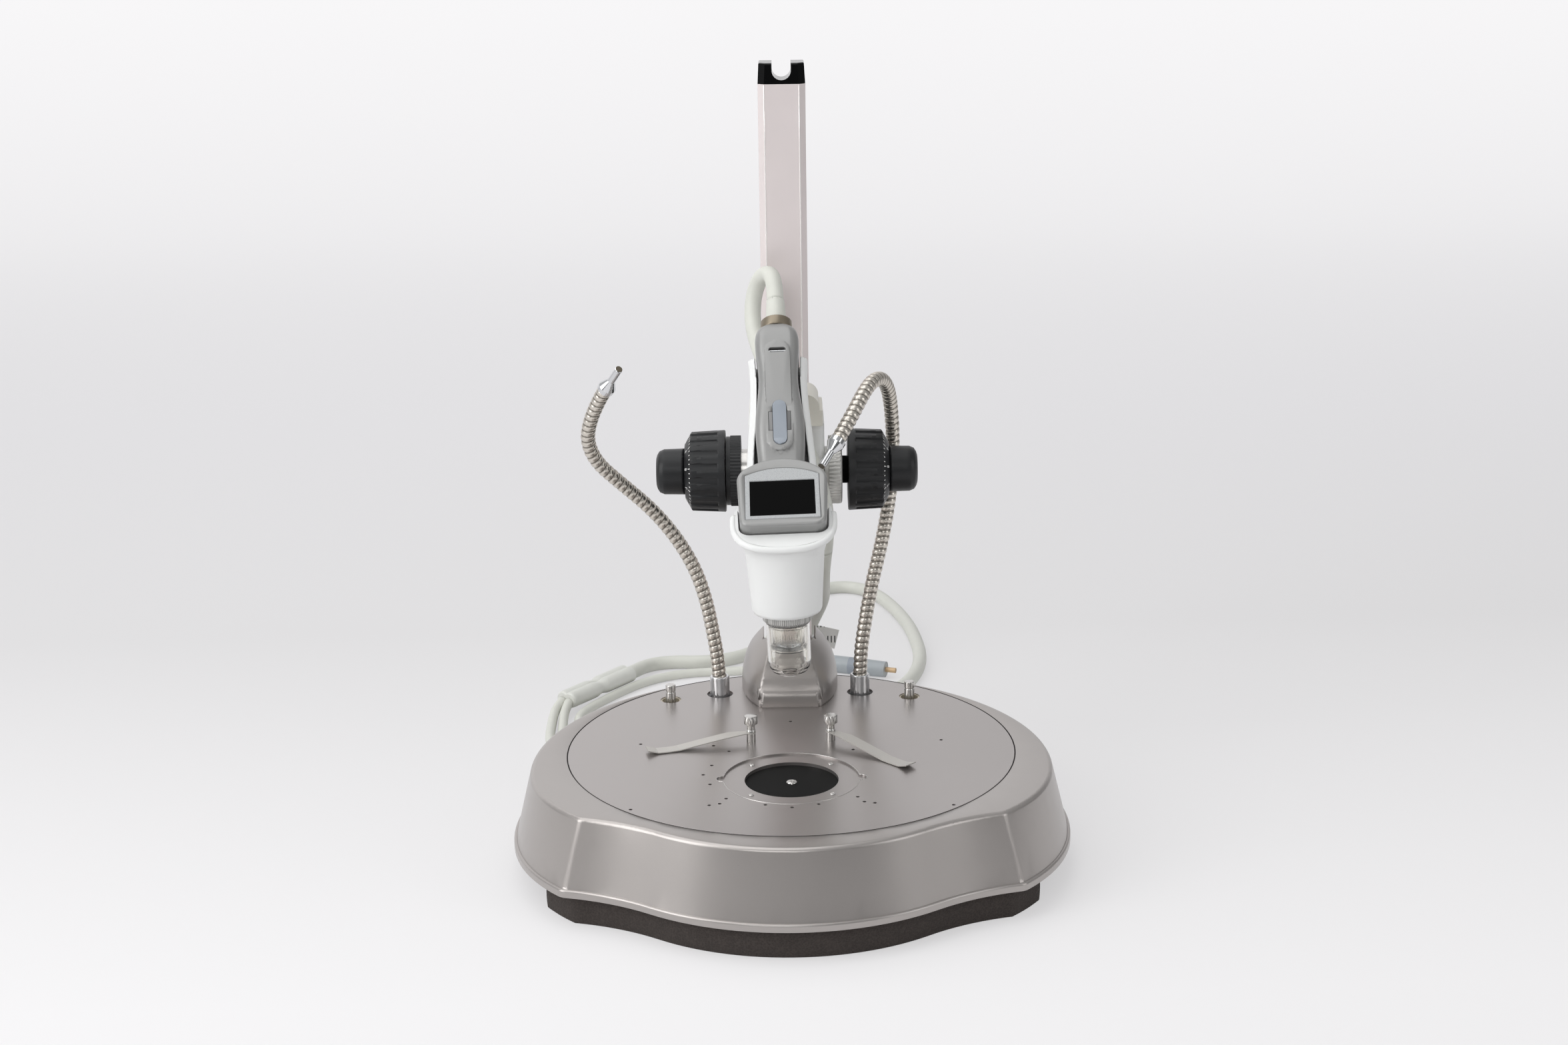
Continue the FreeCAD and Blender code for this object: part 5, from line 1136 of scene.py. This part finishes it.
@dataclass
class DialMarks:
    """White graduations and numbers printed on the sloping face of a coarse knob."""

    side: int
    inner_x: float = 61.0
    inner_radius: float = 24.6
    outer_x: float = 65.0
    outer_radius: float = 17.5
    divisions: int = 50
    proud: float = 0.08

    def on_cone(self, share: np.ndarray, turn: np.ndarray) -> np.ndarray:
        """Points just off the dial's cone: share 0 at its large edge and 1 at its small one, and a turn."""
        run, fall = self.outer_x - self.inner_x, self.inner_radius - self.outer_radius
        lift = self.proud / math.hypot(run, fall)
        radius = self.inner_radius - fall * share + run * lift
        x = self.inner_x + run * share + fall * lift
        y = KNOB_AXIS[0] + radius * np.sin(turn)
        z = KNOB_AXIS[1] + radius * np.cos(turn)
        return np.stack([self.side * x, y, z], -1)

    def ticks(self) -> tuple[np.ndarray, np.ndarray]:
        """The graduations: thin four-cornered marks, each fifth one longer."""
        number = np.arange(self.divisions)
        middle = number * 2 * np.pi / self.divisions
        reach = np.where(number % 5 == 0, 0.38, 0.24)
        half = 0.012
        share = np.stack([np.full(self.divisions, 0.06), reach, reach, np.full(self.divisions, 0.06)], -1)
        turn = middle[:, None] + np.array([-half, -half, half, half]) * 0.9
        faces = np.arange(self.divisions * 4).reshape(-1, 4)
        return self.on_cone(share, turn).reshape(-1, 3), faces

    def digits(self) -> list[tuple[np.ndarray, list[list[int]]]]:
        """The numbers, as flat text wrapped on the cone: x becomes the turn and y the share."""
        wrapped = []
        for i in range(self.divisions // 5):
            text = bpy.data.curves.new("digits", "FONT")
            text.body = str(i)
            text.align_x = "CENTER"
            text.size = 3.6
            carrier = bpy.data.objects.new("digits", text)
            mesh = bpy.data.meshes.new_from_object(carrier)
            flat = points_of(mesh, 1.0)
            faces = [list(p.vertices) for p in mesh.polygons]
            turn = i * 10 * np.pi / self.divisions - self.side * flat[:, 0] / 20.0
            share = 0.9 - flat[:, 1] / 7.6
            wrapped.append((self.on_cone(share, turn), faces))
            bpy.data.meshes.remove(mesh)
            bpy.data.objects.remove(carrier)
            bpy.data.curves.remove(text)
        return wrapped

    def build(self) -> bpy.types.Object:
        """Joins graduations and numbers into one thin printed piece."""
        points, faces = self.ticks()
        blocks, polygons, start = [points], faces.tolist(), len(points)
        for spots, loops in self.digits():
            blocks.append(spots)
            polygons += [[start + v for v in loop] for loop in loops]
            start += len(spots)
        name = "dial_marks_" + ("right" if self.side > 0 else "left")
        piece = mesh_piece(name, np.concatenate(blocks), polygons, "dial_white", smooth=False)
        skin = piece.modifiers.new("ink", "SOLIDIFY")
        skin.thickness = 0.05 * MM
        skin.offset = 0.0
        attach(piece, Body.COARSE.value)
        return piece


@dataclass
class Studio:
    """Pale floor and backdrop, soft lights, and the camera at the photograph's place."""

    position: Point = (-2.3465, -1392.954, 604.285)
    focal: float = 54.872
    pitch: float = 0.2731545
    roll: float = -0.0146308
    # Where the sheet's colour ramp starts, how fast it runs with distance, and how much it moves sideways:
    # painted light and shade over the floor and backdrop.
    ramp_start: float = 0.3
    ramp_rate: float = 0.2
    painted_shade_sideways: float = -0.004
    surround: tuple[float, float, float, float] = (0.3, 0.13, 0.14, 0.26)
    darkest: float = 0.06
    lamps: tuple[tuple[str, Point, Point, tuple[float, float], float], ...] = (
        ("overhead", (-0.5, 0.1, 1.8), (0.0, 0.1, 0.1), (2.0, 1.6), 13.0),
        ("left_box", (-1.6, -0.8, 1.0), (0.0, 0.0, 0.2), (1.1, 1.6), 17.0),
        ("right_box", (1.7, -0.9, 0.9), (0.0, 0.0, 0.2), (0.9, 1.4), 6.0),
        ("front_box", (-0.4, -2.3, 1.6), (0.0, 0.0, 0.15), (1.4, 0.9), 9.5),
    )
    glow_share: float = 0.55
    mirror_share: float = 0.88
    backdrop: float = 0.84
    # The ramp's tones from near to far: painted shade darkest on the floor a little way behind the stand,
    # painted light up the backdrop.
    tones: tuple[tuple[float, Colour], ...] = (
        (0.02, srgb(243, 242, 243)),
        (0.09, srgb(235, 234, 235)),
        (0.15, srgb(227, 226, 227)),
        (0.3, srgb(234, 233, 235)),
        (0.8, srgb(255, 254, 255)),
    )

    def camera(self) -> None:
        """Places the camera: looking down by the pitch, and turned by the roll about its line of sight."""
        data = bpy.data.cameras.new("camera")
        data.lens = self.focal
        data.sensor_width = 36.0
        data.clip_end = 50.0
        data.clip_start = 0.05
        cos, sin = math.cos(self.pitch), math.sin(self.pitch)
        ahead = np.array([0.0, cos, -sin])
        right = np.array([1.0, 0.0, 0.0])
        up = np.array([0.0, sin, cos])
        side = math.cos(self.roll) * right + math.sin(self.roll) * up
        top = -math.sin(self.roll) * right + math.cos(self.roll) * up
        pose = np.eye(4)
        pose[:3, 0], pose[:3, 1], pose[:3, 2] = side, top, -ahead
        pose[:3, 3] = np.array(self.position) * MM
        camera = bpy.data.objects.new("camera", data)
        camera.matrix_world = Matrix(pose.tolist())
        bpy.context.scene.collection.objects.link(camera)
        bpy.context.scene.camera = camera

    def sweep(self) -> None:
        """The floor and backdrop as one curved sheet: flat, then a quarter circle, then upright, with
        painted light and shade in its colour.
        """
        length, bend, back = 3.2, 1.6, 2.4
        turn = np.linspace(0, np.pi / 2, 40)
        y = np.concatenate([[-length], back + bend * np.sin(turn), [back + bend]])
        z = np.concatenate([[0.0], bend * (1 - np.cos(turn)), [5.0]])
        x = np.linspace(-6.0, 6.0, 9)
        grid = np.stack(np.broadcast_arrays(x[None], y[:, None], z[:, None]), -1)
        points = grid.reshape(-1, 3) / MM
        points[:, 2] -= 0.02
        shader = Shader("paper_sweep")
        # Painted light and shade: the place on the colour ramp follows the distance, and shifts a little
        # sideways.
        near = (shader.axis(1) + self.ramp_start) * self.ramp_rate
        place = near + shader.axis(0) * self.painted_shade_sideways
        tones = shader.node("ShaderNodeValToRGB", {"stops": self.tones}, {0: place})
        tone = Socket(shader, tones.outputs[0])
        shader.set(Base_Color=tone, Roughness=0.85, Specular_IOR_Level=0.2)
        path = shader.node("ShaderNodeLightPath")
        kinds = ("Camera", "Glossy", "Transmission")
        rays = [Socket(shader, path.outputs[f"Is {kind} Ray"]) for kind in kinds]
        # Painted reflection: glossy rays see more of the sheet's glow to the left than to the right.
        mirrored = rays[1] * (self.mirror_share - 0.24 * shader.axis(0))
        seen = (rays[0] + mirrored + rays[2]).math("MINIMUM", 1.0)
        glow = Socket(shader, shader.node("ShaderNodeEmission", None, {"Color": tone}).outputs[0])
        lit = Socket(shader, shader.surface.outputs[0])
        # The glow's share grows with distance, so the far sheet is painted lighter.
        share = seen * (near * 0.5 + self.glow_share)
        both = shader.node("ShaderNodeMixShader", None, {0: share, 1: lit, 2: glow})
        shader.feed(shader.tree.nodes["Material Output"], "Surface", Socket(shader, both.outputs[0]))
        MATERIALS["paper_sweep"] = shader.material
        faces = grid_faces(len(y), len(x), False).tolist()
        mesh_piece("paper_sweep", points, faces, "paper_sweep")

    def lamp(self, name: str, spot: Point, aim: Point, size: tuple[float, float], power: float) -> None:
        """A soft rectangular lamp at a spot, turned to its aim, in metres."""
        data = bpy.data.lights.new(name, "AREA")
        data.shape = "RECTANGLE"
        data.size, data.size_y = size
        data.energy = power
        lamp = bpy.data.objects.new(name, data)
        away = unit(np.array(spot) - np.array(aim))
        side = unit(np.cross(np.array([0.0, 0.0, 1.0]) + away[[1, 0, 2]] * 1e-3, away))
        pose = np.eye(4)
        pose[:3, 0], pose[:3, 1], pose[:3, 2] = side, np.cross(away, side), away
        pose[:3, 3] = spot
        lamp.matrix_world = Matrix(pose.tolist())
        bpy.context.scene.collection.objects.link(lamp)

    def world(self) -> None:
        """A surround that lights most from above and the left, and that the camera sees as pale."""
        world = bpy.data.worlds.new("surround")
        world.use_nodes = True
        shader = Shader("surround", world.node_tree)
        side, ahead, up = (shader.axis(number, "Generated") for number in range(3))
        middle, leftwards, forwards, upwards = self.surround
        lit = middle - leftwards * side + forwards * ahead + upwards * up
        lit = lit.math("MAXIMUM", self.darkest)
        seen = Socket(shader, shader.node("ShaderNodeLightPath").outputs["Is Camera Ray"])
        strength = lit * (1 - seen) + seen * self.backdrop
        background = world.node_tree.nodes["Background"]
        shader.feed(background, "Color", (0.95, 0.955, 0.96))
        shader.feed(background, "Strength", strength)
        bpy.context.scene.world = world

    def build(self) -> None:
        """Sets up the whole studio."""
        self.camera()
        self.sweep()
        self.world()
        for lamp in self.lamps:
            self.lamp(*lamp)
        bpy.context.scene.view_settings.view_transform = "Standard"


# Routes, in millimetres, as the CAD has them.
LEFT_GUIDE = [
    (-46.6, 111.0, 69.0), (-47.6, 111.2, 90.0), (-50.4, 111.5, 108.0), (-54.2, 111.2, 130.0),
    (-61.0, 111.0, 152.5), (-73.0, 110.0, 174.6), (-88.4, 106.0, 195.2), (-107.2, 99.0, 214.2),
    (-121.6, 91.0, 230.0), (-126.8, 83.0, 246.0), (-123.7, 75.0, 261.5), (-116.2, 67.2, 278.0),
    (-112.4, 62.6, 284.0),
]
RIGHT_GUIDE = [
    (46.6, 111.0, 69.0), (47.0, 111.4, 90.0), (49.4, 112.4, 108.0), (54.4, 114.4, 137.0),
    (60.8, 116.6, 163.0), (65.8, 118.4, 188.0), (68.6, 118.8, 213.0), (69.2, 117.6, 238.0),
    (67.8, 112.4, 259.5), (65.2, 99.5, 275.0), (60.6, 86.0, 284.0), (54.6, 73.0, 285.4),
    (48.4, 60.0, 280.4), (41.6, 48.5, 270.4), (34.0, 38.0, 259.6), (31.4, 34.4, 256.4),
]
UPPER_CABLE = [
    (-5.682, 77.657, 335.412), (-6.0, 86.2, 344.4), (-8.6, 96.5, 350.2), (-14.6, 105.4, 346.8),
    (-19.0, 108.6, 336.2), (-20.6, 105.5, 323.6), (-19.4, 97.0, 311.6), (-15.2, 85.0, 300.6),
    (-8.6, 72.0, 289.6), (-0.8, 57.6, 276.0), (7.0, 54.6, 260.0), (14.0, 51.4, 243.0),
    (20.0, 49.8, 226.0), (23.6, 50.2, 209.0), (24.2, 53.0, 193.0), (23.0, 59.0, 179.0),
]
DROP_CABLE = [
    (23.0, 59.0, 179.0), (21.8, 68.0, 166.0), (21.6, 84.0, 152.5), (22.0, 104.0, 140.0),
    (22.4, 126.0, 128.0), (21.0, 148.0, 114.6), (15.6, 168.0, 97.0), (8.6, 184.0, 74.0),
    (5.0, 197.0, 49.0), (7.4, 210.0, 25.0), (18.0, 225.0, 9.6), (35.0, 240.0, 5.5),
]
FLOOR_CABLE = [
    (35.0, 240.0, 5.5), (56.0, 254.0, 5.3), (76.0, 273.0, 5.3), (90.4, 299.0, 5.3), (99.0, 331.0, 5.3),
    (101.6, 362.0, 5.3), (100.4, 394.0, 5.3), (97.4, 427.0, 5.3), (92.0, 458.0, 5.3),
    (85.0, 486.0, 5.3), (77.4, 509.0, 5.3), (67.4, 529.0, 5.3), (50.6, 541.0, 5.3), (30.6, 536.6, 5.3),
    (16.6, 519.0, 5.3), (6.6, 494.0, 5.3), (-1.0, 461.0, 5.3), (-7.4, 427.0, 5.3), (-16.0, 392.0, 5.3),
    (-30.0, 368.0, 5.3), (-48.0, 354.0, 5.3), (-68.0, 349.5, 5.3), (-87.0, 351.5, 5.3),
    (-103.0, 347.5, 5.4), (-112.0, 336.0, 6.6), (-117.0, 323.5, 8.1), (-121.6, 312.6, 9.5),
]
VIDEO_TAIL = [
    (-166.03, 255.86, 9.5), (-169.8, 246.0, 7.6), (-171.2, 234.0, 5.0), (-171.2, 219.0, 3.5),
    (-170.8, 202.0, 3.5), (-169.0, 184.0, 3.5), (-163.0, 166.0, 3.5), (-151.0, 151.0, 3.5),
    (-134.0, 143.0, 3.5), (-114.0, 143.0, 3.5), (-94.0, 149.5, 3.5), (-72.0, 159.0, 3.5),
    (-48.0, 168.0, 3.5), (-24.0, 173.5, 3.5), (2.0, 175.0, 3.5), (28.0, 172.5, 3.5), (52.0, 168.0, 3.5),
]
LIGHT_TAIL = [
    (-161.15, 252.36, 9.5), (-163.2, 242.0, 7.2), (-163.6, 230.0, 4.6), (-162.8, 216.0, 3.5),
    (-162.0, 198.0, 3.5), (-160.0, 180.0, 3.5), (-149.6, 165.6, 3.5), (-133.0, 160.8, 3.5),
    (-117.4, 168.2, 3.5), (-111.0, 184.4, 3.5), (-117.0, 200.6, 3.5), (-133.0, 207.6, 3.5),
    (-149.4, 217.6, 3.5), (-153.6, 233.0, 3.5), (-148.8, 251.0, 3.5), (-137.6, 271.0, 3.5),
    (-125.0, 290.6, 3.5), (-111.6, 308.4, 3.5), (-96.0, 321.4, 3.5), (-77.6, 329.6, 3.5),
    (-56.0, 332.4, 3.5), (-34.0, 333.2, 3.5), (-14.0, 338.6, 3.6), (4.0, 343.6, 4.8),
    (19.0, 343.0, 6.8),
]

PLAIN_NODES = {
    "stage_lacquer": ("stage_plate",),
    "black_insert": ("stage_insert",),
    "bright_steel": ("rack", "drive_sleeve", "fine_shaft", "left_bush"),
    "satin_aluminium": ("column",),
    "gloss_black": ("column_cap",),
    "ring_silver": ("right_bush",),
    "cream_plastic": ("focus_slide",),
    "white_plastic": ("focus_housing",),
    "screen_glass": ("screen_window",),
    "black_plastic": ("tension_ring", "camera_module"),
    "chrome": ("video_plug",),
    "plug_grey": ("light_plug",),
    "tan_ferrule": ("light_plug_ferrule",),
    "band_blue": ("light_plug_band",),
    "circuit_green": ("circuit_board",),
    "paper": ("cable_tag",),
}
CURVED_NODES = {
    "satin_grey_paint": ("base_housing",),
    "cast_silver_paint": ("foot_cover",),
    "silver_shell_paint": ("unit_front_shell", "unit_rear_shell"),
    "white_plastic": ("holder",),
    "black_plastic": ("coarse_knob_left", "coarse_knob_right", "fine_knob_left", "fine_knob_right"),
    "bright_steel": ("stage_screws", "locating_pins", "clip_posts", "clip_screw_left", "clip_screw_right"),
    "socket_steel": ("light_sockets", "strap_bar"),
    "pale_brass": ("pin_liners",),
    "warm_brass": ("cable_gland",),
    "ring_silver": ("lock_ring",),
    "lens_ring_metal": ("lens_ring",),
    "clear_plastic": ("clear_tip", "lens_tube"),
    "lens_glass": ("front_lens",),
    "button_blue": ("shutter_button",),
    "cable_skin": ("cable_relief",),
}


def build_cords() -> None:
    """Builds the cable from the handle to its two tails, in the order in which they leave one another."""
    nodes = frame["nodes"]
    thick = {"radius": 5.2, "stiffness": "medium"}
    hanging = {**thick, "across": (1.0, 0.0, 0.0), "far_end": "object", "lay": "hanging"}
    loose = {"across": (0.0, 0.0, 1.0), "body": Body.STAND, "lay": "loose"}
    tail = {**loose, "radius": 3.4, "stiffness": "limp", "far_end": "plug"}
    Cord(
        "handle_cable", "cable_upper", UPPER_CABLE, body=Body.HEAD, blend_to=Body.CARRIAGE, **hanging
    ).build()
    Cord(
        "hanging_cable", "cable_drop", DROP_CABLE, body=Body.CARRIAGE, blend_to=Body.STAND, **hanging
    ).build((nodes["cable_tag"],))
    floor = Cord("floor_cable", "cable_floor", FLOOR_CABLE, far_end="fitting", **thick, **loose)
    floor.build((TwinSleeve().build(),))
    Cord("signal_tail", "video_tail", VIDEO_TAIL, **tail).build((nodes["video_plug"],))
    plug = tuple(nodes[node] for node in ("light_plug", "light_plug_band", "light_plug_ferrule"))
    Cord("light_guide_tail", "light_tail", LIGHT_TAIL, **tail).build(plug)


def main() -> None:
    """Builds the studio and every sub-assembly, and reports each."""
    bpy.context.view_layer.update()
    Studio().build()
    log.info("studio")
    log.info("plain nodes %d", DressedNodes(PLAIN_NODES).build())
    log.info("curved nodes %d", SmoothedNodes(CURVED_NODES).build())
    log.info("softened nodes %d", SmoothedNodes({"pale_silver_paint": ("screen_bezel",)}, 0.5).build())
    log.info("%s", FoamPad().build().name)
    for word, side in (("left", -1), ("right", 1)):
        log.info("%s", ColumnEdge(word, (side * 11.0, 121.2)).build().name)
    for word, route in (("left", LEFT_GUIDE), ("right", RIGHT_GUIDE)):
        log.info("%s", Gooseneck(word, route).build().name)
        log.info("%s", LightTip(word, route).build().name)
    log.info("%s", tip_glasses((LEFT_GUIDE, RIGHT_GUIDE)).name)
    for word, side in (("left", -1), ("right", 1)):
        log.info("%s", ClipLeaf(word, (side * 25.1, 22.0)).build().name)
    log.info("%s", RimBead().build().name)
    # Painted highlight: a bright steel bead round the recess's edge.
    log.info("%s", EdgeBead("recess_highlight_bead", recess_outline()).build().name)
    # Painted shade: a dark bead sunk just under the top face in the seam between the stage plate and the
    # base.
    log.info("%s", EdgeBead("stage_seam_shade", seam_outline(), "seam_shade", 0.3).build().name)
    build_cords()
    log.info("cords")
    for side in (-1, 1):
        log.info("%s", DialMarks(side).build().name)


if __name__ == "__main__":
    main()
